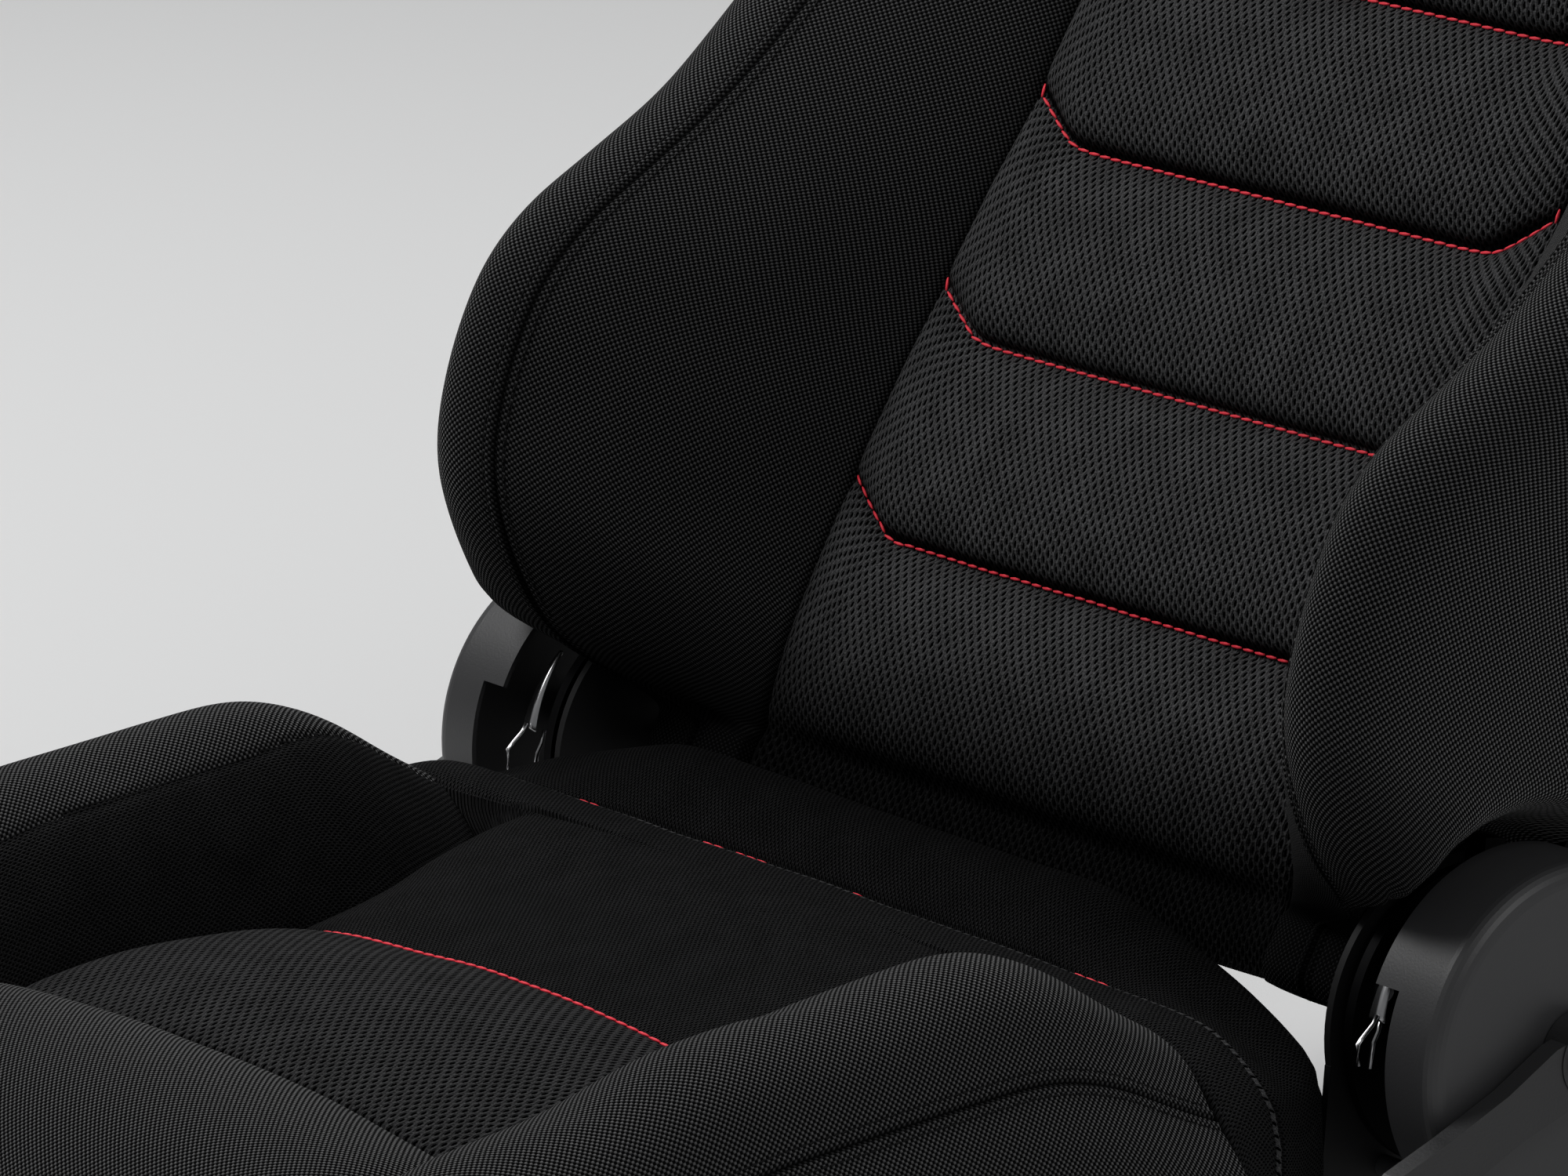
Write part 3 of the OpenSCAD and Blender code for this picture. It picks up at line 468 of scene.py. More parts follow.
# %% [markdown]
# ### Woven cloth
#
# The bolsters wear a coarse plain weave, which wears better where people slide in and out. Each yarn goes
# over one and under the next, so crowns stand like the squares of a chessboard. A product of two sine waves
# has just that shape: its peaks are the lengthwise yarns, a little lighter, and its troughs the crosswise
# ones.

# %% Woven cloth
def basket_weave(name, low, high, pitch=0.0012):
    material, tree, shader = finish(name, high, 0.8)
    uv, across, along = cloth_map(tree)
    waves = [maths(tree, "SINE", maths(tree, "MULTIPLY", way, math.pi / pitch)) for way in (across, along)]
    crowns = maths(tree, "MULTIPLY", *waves)
    fibres = maths(tree, "MULTIPLY", grain(tree, uv, 900), 0.4)
    shaded, unshaded = painted_shade_nodes(tree)
    # Painted shade: the weave's tone falls to the dark yarn, and its sheen and gloss fade, where the piece's
    # shade attribute is high.
    shade = maths(tree, "MULTIPLY", ramp(tree, maths(tree, "ADD", crowns, fibres), -0.1, 1.1), unshaded)
    tree.links.new(blend_colours(tree, shade, low, high), shader.inputs["Base Color"])
    height = maths(tree, "ADD", maths(tree, "ABSOLUTE", crowns), maths(tree, "MULTIPLY", crowns, 0.5))
    raise_surface(tree, shader, height, 0.0003)
    tree.links.new(maths(tree, "MULTIPLY", shade, 0.4), shader.inputs["Sheen Weight"])
    tree.links.new(maths(tree, "MULTIPLY", shade, 0.3), shader.inputs["Specular IOR Level"])
    shader.inputs["Sheen Roughness"].default_value = 0.4
    return material


woven_cloth = basket_weave("woven_cloth", (0.0025, 0.0025, 0.0026), (0.07, 0.07, 0.0715))
print("made", woven_cloth.name)

# %% [markdown]
# ### Threads, plastics and metals
#
# Thread is a plain soft colour, because its shape is modelled. Moulded covers have a satin, finely
# spark-eroded skin. Powder coat has a slight orange peel. Zinc-plated rails are mottled, recliner steel is
# dark and dull under its oil, and the springs are bright.

# %% Hard finishes
def thread(name, colour, gloss):
    return finish(name, colour, 0.6, gloss=gloss)[0]


def moulded(name, colour, roughness, grain_size, depth, gloss=0.5):
    material, tree, shader = finish(name, colour, roughness, gloss=gloss)
    raise_surface(tree, shader, grain(tree, coordinates(tree, "Object"), 1 / grain_size), depth, 0.6)
    return material


def metal(name, light, dark, roughness, grain_size):
    material, tree, shader = finish(name, light, roughness, 1.0)
    mottle = grain(tree, coordinates(tree, "Object"), 1 / grain_size, 3.0)
    tree.links.new(blend_colours(tree, ramp(tree, mottle, 0.3, 0.7), light, dark), shader.inputs["Base Color"])
    return material


red_thread = thread("red_thread", (1.0, 0.035, 0.065), 0.5)
black_thread = thread("black_thread", (0.003, 0.003, 0.0032), 0.12)
cover_plastic = moulded("cover_plastic", (0.03, 0.03, 0.0315), 0.45, 0.0009, 0.0001)
shell_plastic = moulded("shell_plastic", (0.022, 0.022, 0.023), 0.5, 0.0016, 0.0002)
lever_plastic = moulded("lever_plastic", (0.016, 0.016, 0.017), 0.45, 0.0012, 0.0002)
frame_paint = moulded("frame_paint", (0.005, 0.005, 0.0054), 0.6, 0.003, 0.0001, gloss=0.2)
glide_nylon = moulded("glide_nylon", (0.55, 0.53, 0.48), 0.5, 0.003, 0.0001)
webbing = moulded("webbing", (0.02, 0.02, 0.021), 0.85, 0.0012, 0.0005)
rail_steel = metal("rail_steel", (0.56, 0.57, 0.58), (0.42, 0.43, 0.45), 0.38, 0.012)
recliner_steel = metal("recliner_steel", (0.006, 0.006, 0.0063), (0.004, 0.004, 0.0043), 0.55, 0.02)
shaft_steel = metal("shaft_steel", (0.012, 0.012, 0.0125), (0.008, 0.008, 0.0085), 0.5, 0.02)
spring_steel = metal("spring_steel", (0.6, 0.6, 0.61), (0.5, 0.5, 0.51), 0.25, 0.01)
print("made", len(bpy.data.materials), "materials")

# %% Paint the parts of the frame
node_finishes = {
    rail_steel: ("lower_rail_left", "lower_rail_right", "upper_rail_left", "upper_rail_right", "frame_bolts"),
    glide_nylon: ("rail_glides",),
    frame_paint: ("release_bar", "front_brackets", "rear_brackets", "side_plate_left", "side_plate_right",
                  "front_tube", "rear_tube", "back_post_left", "back_post_right", "back_top_tube",
                  "back_low_tube", "head_spine", "head_plate"),
    spring_steel: ("cushion_springs", "spiral_spring_left", "spiral_spring_right", "arm_rivets"),
    recliner_steel: ("recliner_disc_left", "recliner_disc_right", "recliner_keepers", "recliner_arm_left",
                     "recliner_arm_right"),
    shaft_steel: ("cross_shaft",),
    cover_plastic: ("recliner_cover_left", "recliner_cover_right"),
    lever_plastic: ("recline_lever_left", "recline_lever_right", "lever_caps"),
    webbing: ("back_webbing",),
    shell_plastic: ("harness_bezel_left", "harness_bezel_right", "back_shell"),
}
for material, names in node_finishes.items():
    for name in names:
        for material_slot in frame["nodes"][name].material_slots:
            material_slot.material = material
print("painted", sum(len(names) for names in node_finishes.values()), "nodes")

# %% [markdown]
# ## Threads as geometry
#
# A row of stitches is a row of short capsules. Each one lies on the finished skin: its place comes from a
# line on the pattern, and the nearest point of the skin gives the height and the way that the surface faces.

# %% Stitch rows
slant = 0.09


def stitches(name, lines, cover, material, body,
             length=0.0066, pitch=0.0062, radius=0.0006, proud=0.0004):
    """One piece of thread capsules along each line of points, laid on the cover, each slanted a little."""
    surface = BVHTree.FromObject(cover, bpy.context.evaluated_depsgraph_get())
    bm = bmesh.new()
    bmesh.ops.create_uvsphere(bm, u_segments=6, v_segments=5, radius=1)
    bmesh.ops.scale(bm, vec=(length / 2, radius * 1.15, radius), verts=bm.verts)
    capsule = bpy.data.meshes.new("capsule")
    bm.to_mesh(capsule)
    bm.clear()
    total = 0
    for line in lines:
        laid = [surface.find_nearest(point)[:2] for point in line]
        steps = [(b[0] - a[0]).length for a, b in zip(laid, laid[1:])]
        travelled, k, start = pitch / 2, 0, 0.0
        while k < len(steps):
            if travelled > start + steps[k]:
                start += steps[k]
                k += 1
                continue
            share = (travelled - start) / max(steps[k], 1e-9)
            middle = laid[k][0].lerp(laid[k + 1][0], share)
            forward = (laid[k + 1][0] - laid[k][0]).normalized()
            upward = laid[k][1].lerp(laid[k + 1][1], share).normalized()
            side = upward.cross(forward).normalized()
            forward = (forward + side * slant).normalized()
            side = upward.cross(forward).normalized()
            turn = Matrix((forward, side, forward.cross(side))).transposed().to_4x4()
            place = Matrix.Translation(middle + upward * proud) @ turn
            capsule.transform(place)
            bm.from_mesh(capsule)
            capsule.transform(place.inverted())
            travelled += pitch
            total += 1
    for face in bm.faces:
        face.smooth = True
    bpy.data.meshes.remove(capsule)
    piece = new_piece(name, bm)
    piece.data.materials.append(material)
    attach(piece, body)
    print(name, total, "stitches")


print("stitches slant by", round(math.degrees(math.atan(slant)), 1), "degrees")


def dress(piece, material, body, slot, *nodes):
    """Gives a padded piece its cloth, its body and the nodes that it stands for."""
    piece.data.materials.clear()
    piece.data.materials.append(material)
    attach(piece, body)
    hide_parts(*nodes)
    print(piece.name, len(piece.data.polygons), "faces")


# %% [markdown]
# ## The back, in its own upright frame
#
# The backrest leans, and it is far easier to draw upright. Its sections are drawn as (x, forward, up) from
# the recliner axis, and one function leans them back into place. The recliner axis is read from the joint, so
# the padding stays on the frame. Small gaps keep a cover clear of the one beside it and of the one above it.

# %% Backrest frame
recline_joint = next(j for j in frame["joints"] if j["name"] == "back_recline")
recline_axis = Vector(recline_joint["pos_m"])
lean = math.radians(31)
back_up = Vector((0, math.sin(lean), math.cos(lean)))
back_forward = Vector((0, -math.cos(lean), math.sin(lean)))


def on_back(x, forward, up):
    """A point of the backrest, from millimetres in its upright frame to metres on the seat."""
    return recline_axis + (Vector((x, 0, 0)) + back_forward * forward + back_up * up) * MM


def forward_of(co):
    """How far in front of the recliner axis each point is, in metres."""
    return (co - np.array(recline_axis)) @ np.array(back_forward)


bolster_out, side_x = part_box("back_bolster_left")[1].x / MM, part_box("side_plate_left")[0].x / MM
back_face, back_rear = 30, 13.5
insert_top, channel_first, channel_count = 477, 99, 5
channel_pitch = (insert_top - channel_first) / (channel_count - 0.5)
wing_bottom = insert_top - 75
lip, lip_rear, lip_top = 14, 12, 13
insert_gap, cover_gap, end_gap = 0.4, 0.3, 0.6
half_width, half_changes = 151, [(12, 0), (70, 4), (124, 6), (205, 2), (291, -5), (400, -9), (480, -10)]


def insert_edge(up):
    return half_width + smooth(half_changes, up)


print("recliner axis", tuple(round(x, 3) for x in recline_axis), "bolsters reach", round(bolster_out))

# %% [markdown]
# ## Back insert
#
# The insert is one long pad sewn across in channels. Above each seam the foam rolls over it steeply, and
# below the seam it falls in gently, so that a seam throws a soft shadow, and painted shade above each seam
# deepens it. Towards the sides the seams turn up, because the cloth is pulled into the valley beside the
# bolsters. The rows of the skin follow the seams, so the groove and the threads can bend with them. Towards
# the crease at its foot the cloth is painted darker as shade.

# %% Back insert
channel_depth, channel_bend = 12.0, 0.73
insert_columns = 44
even_shares = [2 * k / insert_columns - 1 for k in range(insert_columns + 1)]
column_shares = [math.copysign(abs(t) ** 0.9, t) for t in even_shares]
bend_reach = 30


def channel_rise(up, x, half):
    """How far a channel's seam has turned up at x, where half is the insert's half width."""
    beyond = abs(x) - half + bend_reach
    turned_up = channel_bend * (beyond + math.hypot(beyond, 5)) / 2
    return turned_up * min(1, max(0, (up - 12) / 50)) * min(1, max(0, (insert_top - up) / 40))


def channel_fill(up):
    """Share of the channel's fullness: steep above a seam, gentle below the next one."""
    above = (up - channel_first) % channel_pitch
    below = channel_pitch - above
    crown = 1 + 0.12 * math.sin(math.pi * above / channel_pitch)
    return (1 - math.exp(-above / 4.5)) * (1 - math.exp(-below / 16)) * crown


def from_channel(ups):
    """Distance of each height from the nearest channel seam."""
    return np.abs((ups - channel_first + channel_pitch / 2) % channel_pitch - channel_pitch / 2)


def insert_face(up, t):
    """How far forward the insert's face is at a height, and at t from -1 to 1 across."""
    fullness = channel_fill(up) * (1 - t**8) + 0.85 * t**8
    return back_face - 7 + channel_depth * fullness - 2.5 * t**2 - 3 * t**16


def insert_section(up):
    half = insert_edge(up + channel_rise(up, half_width, half_width)) - insert_gap
    foot = 4 * fade(up, 40, 8) + 9 * (1 - math.sqrt(fade(up, -lip, 2)))
    ring = []
    for t in column_shares:
        x = t * half
        face = insert_face(max(up, 15), t) - foot
        if up < lip_top:
            face = max(face, lip_rear + 1)
        ring.append(on_back(x, face, up + channel_rise(up, x, half)))
    for t in (1, 0.94, 0.7, 0.35, 0, -0.35, -0.7, -0.94, -1):
        x = t * half
        deep = -lip_rear if up < lip_top else back_rear - 6 if abs(t) == 1 else back_rear
        ring.append(on_back(x, -deep, up + channel_rise(up, x, half)))
    return ring


insert_rows = [-lip, 2.5 - lip, 6 - lip, -3, 2, 7, 12.6]
insert_rows += [14 + k * (insert_top - 14.5) / 96 for k in range(97)]
insert_rows = sorted(insert_rows + [channel_first + channel_pitch * k + s for k in range(channel_count)
                                    for s in (-2, 0, 2.5)])
insert_rows = [up for k, up in enumerate(insert_rows) if k == 0 or up - insert_rows[k - 1] > 1.0]
back_insert = skin("back_insert_cover", [insert_section(up) for up in insert_rows], insert_columns // 2,
                   insert_columns + 5, insert_rows)
ups, cos = values_of(back_insert, "station"), points_of(back_insert)
near_edge = np.abs(cos[:, 0]) > (half_width - 12) * MM
behind = forward_of(cos) < 5 * MM
swelled = fill(back_insert, (from_channel(ups) < 3) | near_edge | behind | (ups < 30) | (ups > insert_top - 8),
               0.004)
refine(back_insert, 1)
ups = values_of(back_insert, "station")
press(back_insert, -0.0012 * bell(from_channel(ups), 2.2), 0.035, 0.0007, 3)
# Painted shade: a near black band just above each seam that fades upwards, and cloth growing darker towards the
# crease at the foot.
above = (ups - channel_first) % channel_pitch
seam_shade = (0.75 * bell(above, 4) + 0.35 * np.exp(-above / 9)) * (ups > channel_first - 1)
paint_shade(back_insert, seam_shade + 0.9 * np.clip((72 - ups) / 57, 0, 1))
dress(back_insert, mesh_cloth, "backrest", "mesh_cloth", "back_insert")
print("channels swelled by up to", round(swelled * 1000, 1), "mm before the cap")

# %% Red thread in the channels
sewn_share = 0.985


def channel_line(k):
    up = channel_first + channel_pitch * k
    half = insert_edge(up) - insert_gap
    places = [half * (j / 40 - 1) * sewn_share for j in range(81)]
    return [on_back(x, insert_face(up, x / half) + 1, up + channel_rise(up, x, half)) for x in places]


stitches("back_channel_stitches", [channel_line(k) for k in range(channel_count)], back_insert, red_thread,
         "backrest")

# %% [markdown]
# ## Back bolsters and shoulder wings
#
# A bolster is a tall wedge of foam that holds the sitter's side. Its section grows quickly from the foot to
# hip height, then thins towards the chest, and the shoulder wing takes over above it. One cover goes over
# both, with a cross seam where they meet. Every section is drawn at one width and stretched to its own. At the
# recliner the foam is scooped out, so the cover rolls in round the plastic cap. The left cover is sewn first,
# and its mirror image is the right one.

# %% Back bolster sections
bolster_depth, drawn_width = 163, 112
depth_shares = [(14, 0.36), (18, 0.47), (25, 0.6), (40, 0.76), (58, 0.88), (78, 0.95), (108, 0.995), (137, 1),
                (166, 0.945), (196, 0.84), (231, 0.715), (269, 0.615), (320, 0.53), (390, 0.48)]
wing_reaches = [(0, 78), (24, 84), (62, 100), (100, 112), (138, 108), (172, 92), (200, 74), (220, 58),
                (232, 46)]
wing_outers = [(0, 0), (24, 0.6), (62, -1), (100, -8), (138, -22), (172, -44), (200, -66), (220, -84),
               (232, -96)]
wing_inners = [(0, 0), (100, 0), (138, -1), (172, -4), (200, -7), (220, -10), (232, -14)]
cap_clear, cap_inside, cap_roll = 72, 216, 16
ring_steps, seam_corner, wrap_corner = 5, 3, 10


def lip_section(up):
    """The bolster's foot: a flap in front of the cross shaft, between the insert and the side plate."""
    inner, outer = insert_edge(12) + cover_gap, side_x - 13
    front = lip_rear + 18 - 5 * (1 - fade(up, -lip, 4 - lip))
    corners = [(inner, front - 4), (inner + 6, front - 1), (inner + 14, front), (inner + 25, front),
               (inner + 36, front), (outer - 6, front - 1), (outer, front - 5), (outer, lip_rear + 4),
               (outer - 3, lip_rear + 1), (outer - 10, lip_rear), (inner + 12, lip_rear), (inner, lip_rear + 3)]
    return [on_back(min(max(x, inner), outer), max(forward, lip_rear), up)
            for x, forward in round_ring(corners, ring_steps)]


def bolster_section(up):
    if up < lip_top:
        return lip_section(up)
    wing = up - wing_bottom - end_gap
    depth = bolster_depth * smooth(depth_shares, up) if wing < 0 else smooth(wing_reaches, wing)
    inner = insert_edge(min(up, insert_top)) + smooth(wing_inners, wing) + cover_gap
    outer = bolster_out + smooth(wing_outers, wing)
    k, face, rise = (outer - inner) / drawn_width, back_face, depth - back_face
    corners = [(inner, face - 14), (inner + 8 * k, face + rise * 0.1), (inner + 34 * k, face + rise * 0.55),
               (inner + 66 * k, face + rise * 0.92), (inner + 87 * k, face + rise),
               (inner + 104 * k, face + rise * 0.84), (outer, face + rise * 0.45), (outer, face * 0.4),
               (outer - 6 * k, 3 - back_rear), (outer - 24 * k, -back_rear), (inner + 20 * k, -back_rear),
               (inner, 5 - back_rear)]
    ring = []
    for x, forward in round_ring(corners, ring_steps):
        x, forward = min(max(x, inner), outer), max(forward, -back_rear)
        away = math.hypot(forward, up)
        x = min(x, cap_inside + (outer - cap_inside) * math.sqrt(fade(away, cap_clear, cap_clear + cap_roll)))
        ring.append(on_back(x, forward, up))
    return ring


bolster_rows = [-lip, -lip + 3, -6, 0, 6, 12, 14, 16, 19, 23, 28, 34, 40] + [40 + 8.2 * k for k in range(1, 71)]
bolster_rings = [bolster_section(up) for up in bolster_rows]
end_rings = dome(bolster_rings[-1], back_up, 0.008)
start_rings = dome(bolster_rings[0], -back_up, 0.0015)[::-1]
bolster_stations = [-lip] * len(start_rings) + bolster_rows + [bolster_rows[-1] + 1] * len(end_rings)
print("bolster sections from", bolster_rows[0], "to", round(bolster_rows[-1]), "mm up")

# %% Sew the back bolsters
def mirrored(piece, name):
    """The same piece for the other side of the seat."""
    bm = bmesh.new()
    bm.from_mesh(piece.data)
    bmesh.ops.scale(bm, vec=(-1, 1, 1), verts=bm.verts)
    bmesh.ops.reverse_faces(bm, faces=bm.faces)
    return new_piece(name, bm)


row_offset, held_seam = 0.0046, 0.003


def felled_seam(away):
    """Depth of a flat-felled seam: a narrow crease, with a flat ridge out to the stitch rows on each side."""
    crease, ridge = -1.3 * bell(away, 0.0009), 0.55 * bell(away - 0.0025, 0.0016)
    return (crease + ridge - 0.45 * bell(away - row_offset, 0.0008)) * MM


def sew_bolster(piece, relief, seed, shade_layer=0.0):
    """Presses in the felled seam and the relief given, paints shade into the seam's crease and adds the painted
    shade given.
    """
    away = values_of(piece, "seam_away")
    press(piece, felled_seam(away) + relief, 0.05, 0.001, seed)
    paint_shade(piece, 0.92 * bell(away, 0.0015) + shade_layer)


back_bolster = skin("back_bolster_cover_left", start_rings + bolster_rings + end_rings,
                    seam_corner * ring_steps, wrap_corner * ring_steps, bolster_stations)
ups, away = values_of(back_bolster, "station"), values_of(back_bolster, "seam_away")
cos = points_of(back_bolster)
forwards = forward_of(cos)
beside_cap = cos[:, 0] > (cap_inside - cap_roll) * MM
cap_near = (np.hypot(forwards, ups * MM) < (cap_clear + cap_roll + 6) * MM) & beside_cap
hidden = (forwards < 2 * MM) | (cos[:, 0] < (half_width + 12) * MM) | (ups < 24) | cap_near
swelled = fill(back_bolster, hidden | (away < held_seam), 0.005)
refine(back_bolster, 2)
ups = values_of(back_bolster, "station")
# Painted shade towards the bolster's foot, where it meets the cushion, on top of the seam's painted crease.
sew_bolster(back_bolster, -0.0016 * bell(ups - wing_bottom, 1.6), 7, 0.9 * np.clip((62 - ups) / 48, 0, 1))
back_bolster_right = mirrored(back_bolster, "back_bolster_cover_right")
dress(back_bolster, woven_cloth, "backrest", "woven_cloth", "back_bolster_left", "shoulder_wing_left")
dress(back_bolster_right, woven_cloth, "backrest", "woven_cloth", "back_bolster_right", "shoulder_wing_right")
print("bolsters swelled by up to", round(swelled * 1000, 1), "mm before the cap")

# %% [markdown]
# ### Dark thread beside the seams
#
# The two panels of a bolster are joined by a flat-felled seam: the cloth edges are folded to each side and
# sewn down by a row of dark thread either side of the crease.

# %% Stitch rows on the back bolsters
def beside_seam(rings, seam, offset, side):
    """Line of points at an offset across from the seam column of the rings, on one side of the seat."""
    line = []
    for ring in rings:
        a, b = ring[seam], ring[(seam + (1 if offset > 0 else -1)) % len(ring)]
        point = a + (b - a).normalized() * abs(offset)
        line.append(Vector((point.x * side, point.y, point.z)))
    return line


def seam_stitches(name, rings, seam, covers, body):
    """A row of dark thread on each side of the felled seam, on the left cover and on the right one."""
    for side, end, cover in ((1, "left", covers[0]), (-1, "right", covers[1])):
        lines = [beside_seam(rings, seam, offset, side) for offset in (-row_offset, row_offset)]
        stitches(f"{name}_{end}", lines, cover, black_thread, body,
                 length=0.003, pitch=0.0036, radius=0.0004, proud=0.0002)


seam_stitches("back_bolster_stitches", bolster_rings[9:-1], seam_corner * ring_steps,
              (back_bolster, back_bolster_right), "backrest")

# %% [markdown]
# ## Cushion insert
#
# The cushion's mesh panel runs from the rear hump, which fills the gap under the back, over a sewn seam and
# down to a shallow seat. A red line crosses it at mid thigh. Sections run across the seat, and the pad falls
# a little towards its sides.

# %% Cushion insert
cushion_low, cushion_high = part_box("cushion_insert")
cushion_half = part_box("cushion_nose")[1].x / MM
wide_from = cushion_high.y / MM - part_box("cushion_bolster_left")[1].y / MM - end_gap
wide_halves = [(0, -2.5), (26, -2.5), (34, 14), (41, 24), (54, 30), (66, 34), (80, 38), (100, 44)]
hump_shares = [(0, 1), (54, 1), (66, 0.35), (73, 0)]
hump_flat, hump_fall, seat_flat, seat_fall = 118, 117, 205, 57
cushion_rear, cushion_base, pad_height = cushion_high.y / MM, cushion_low.z / MM, 79
insert_tops = [(0, -61), (4, -29), (14, 7), (26, 27), (41, 35), (54, 30), (66, 18), (73, 12.5), (80, 17),
               (108, 18), (141, 15), (178, 8), (203, 3), (209, 1.2), (215, 3), (248, 9), (285, 11), (322, 8),
               (344, 3)]
rear_seam, front_seam = 73, 209


def cushion_side(place):
    return side_x + smooth(wide_halves, place) - cover_gap if place <= wide_from else cushion_half


def cushion_top(place, t):
    """Height of the pad above its underside, at a place from its rear end and a share t of its half width."""
    x = abs(t) * cushion_side(place)
    fall = smooth([(0, 2), (100, 4), (160, 13)], place) * t**2 + 8 * abs(t) ** 14
    fall += 32 * smooth(hump_shares, place) * (max(0, x - hump_flat) / hump_fall) ** 1.1
    fall += 26 * (1 - smooth(hump_shares, place)) * (max(0, x - seat_flat) / seat_fall) ** 2
    fall += 5 * math.exp(-abs(wide_from - place) / 2.2) * fade(x, cushion_half - 6, cushion_half + 2)
    return max(6, pad_height + smooth(insert_tops, place) - fall)


def under_rise(t):
    """The underside is flat, and turns up by 3 mm at its two edges."""
    return 3 if abs(t) > 0.98 else 0


def cushion_section(place):
    ring, half = [], cushion_side(place)
    for t in column_shares:
        ring.append(Vector((t * half, cushion_rear - place, cushion_base + cushion_top(place, t))) * MM)
    for t in (0.99, 0.94, 0.6, 0.3, 0, -0.3, -0.6, -0.94, -0.99):
        ring.append(Vector((t * half, cushion_rear - place, cushion_base + under_rise(t))) * MM)
    return ring


cushion_places = [0, 1, 2.5, 4, 7, 10, 14, 18, 22, 26, 31, 36, 41, 47, 54, 60, 66, 69, 70.4, 71.5, 72.6, 73.8,
                  75, 76.4, 78, 80, 86, 92, 97]
cushion_places += [wide_from - 1.2, wide_from, wide_from + 0.3, wide_from + 1.5]
cushion_places += [106 + 6 * k for k in range(17)] + [205, 207, 208.3, 209, 209.8, 211.2]
cushion_places += [214 + 6 * k for k in range(22)] + [343.8]
cushion_insert = skin("cushion_insert_cover", [cushion_section(p) for p in cushion_places], insert_columns // 2,
                      insert_columns + 5, cushion_places)
places, cos = values_of(cushion_insert, "station"), points_of(cushion_insert)
held = ((np.abs(places - rear_seam) < 4) | (np.abs(places - front_seam) < 3) | (places < 3) | (places > 338)
        | (np.abs(places - wide_from) < 6) | (np.abs(cos[:, 0]) > (cushion_half - 12) * MM)
        | (cos[:, 2] < (cushion_base + 40) * MM))
swelled = fill(cushion_insert, held, 0.004)
refine(cushion_insert, 1)
places = values_of(cushion_insert, "station")
relief = (-0.0006 * bell(places - front_seam, 1.5) - 0.0022 * bell(places - rear_seam + 1.2, 1.3)
          + 0.0012 * bell(places - rear_seam - 1.8, 1.5))
press(cushion_insert, relief, 0.04, 0.0009, 11)
# Painted shade on the rear hump, darkest at its rear end under the back.
paint_shade(cushion_insert, 0.6 * np.clip((rear_seam + 12 - places) / 40, 0, 1))
dress(cushion_insert, front_mesh_painted_shade, "seat_base", "mesh_cloth", "cushion_insert")
for cloth in (fine_mesh, mesh_cloth):
    cushion_insert.data.materials.append(cloth)
for face in cushion_insert.data.polygons:
    place = sum(places[k] for k in face.vertices) / len(face.vertices)
    on_ridge = 0.4 < place - rear_seam < 3.2
    face.material_index = 2 if on_ridge else int(place < front_seam)
print("cushion swelled by up to", round(swelled * 1000, 1), "mm before the cap")

# %% Red thread on the cushion
def cushion_line(place, start, end):
    half, count = cushion_side(place), max(2, round((end - start) / 4))
    spread = [(start + (end - start) * j / count) / half for j in range(count + 1)]
    return [Vector((t * half, cushion_rear - place, cushion_base + cushion_top(place, t) + 1)) * MM
            for t in spread]


line_end = cushion_half * sewn_share
seam_shows = ((-140, -130), (-66, -56), (-47, -26), (20, 26), (143, 164))
for name, place, spans in (("cushion_line_stitches", front_seam, ((-line_end, line_end),)),
                           ("cushion_seam_stitches", rear_seam, seam_shows)):
    stitches(name, [cushion_line(place, *ends) for ends in spans], cushion_insert, red_thread,
             "seat_base", radius=0.00062)

# %% [markdown]
# ## Thigh pad
#
# In front of the mesh panel the cushion ends in a rounded thigh pad of the woven cloth, which rolls down over
# the front tube.

# %% Thigh pad
nose_tops = [(0, 3), (10, 9), (30, 14), (55, 14), (80, 6), (100, -14), (112, -36), (119, -62)]
nose_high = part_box("cushion_nose")[1]


def nose_section(place):
    ring = []
    for t in column_shares:
        top = max(6, pad_height + smooth(nose_tops, place) - 10 * t**2 - 8 * abs(t) ** 14)
        ring.append(Vector((t * cushion_half, nose_high.y / MM - place, cushion_base + top)) * MM)
    for t in (0.99, 0.94, 0.5, 0, -0.5, -0.94, -0.99):
        ring.append(Vector((t * cushion_half, nose_high.y / MM - place, cushion_base + under_rise(t))) * MM)
    return ring


nose_places = [0, 1, 3, 6] + [6 + 6 * k for k in range(1, 17)] + [106, 110, 113, 115, 117, 118.4]
nose_rings = [nose_section(p) for p in nose_places]
nose_end = dome(nose_rings[-1], Vector((0, -1, 0)), 0.003)
thigh_pad = skin("thigh_pad_cover", nose_rings + nose_end, insert_columns // 2, insert_columns + 4,
                 nose_places + [119] * len(nose_end))
cos = points_of(thigh_pad)
held = ((cos[:, 1] > nose_high.y - 0.005) | (np.abs(cos[:, 0]) > (cushion_half - 12) * MM)
        | (cos[:, 2] < (cushion_base + 12) * MM))
fill(thigh_pad, held, 0.003)
refine(thigh_pad, 1)
press(thigh_pad, 0.0, 0.05, 0.0009, 17)
dress(thigh_pad, woven_cloth, "seat_base", "woven_cloth", "cushion_nose")

# %% [markdown]
# ## Cushion bolsters
#
# A cushion bolster keeps the thigh in place. Its section rises from the insert, rolls over a crest and falls
# outside, and the crest dips at both ends. The felled seam runs along the outside of the crest.

# %% Cushion bolsters
crest_drops = [(0, 88), (5, 60), (16, 40), (40, 27), (70, 21), (100, 16), (147, 5), (192, 1), (240, -2),
               (276, -2), (305, 8), (335, 28), (352, 38)]
side_low, side_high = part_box("cushion_bolster_left")
crest_height, crest_length, inner_slope_end = 132, 352, 210
cushion_inner, cushion_outer, cushion_nose_y = cushion_half + cover_gap, side_high.x / MM, side_low.y / MM
crest_seam, crest_wrap = 6, 9


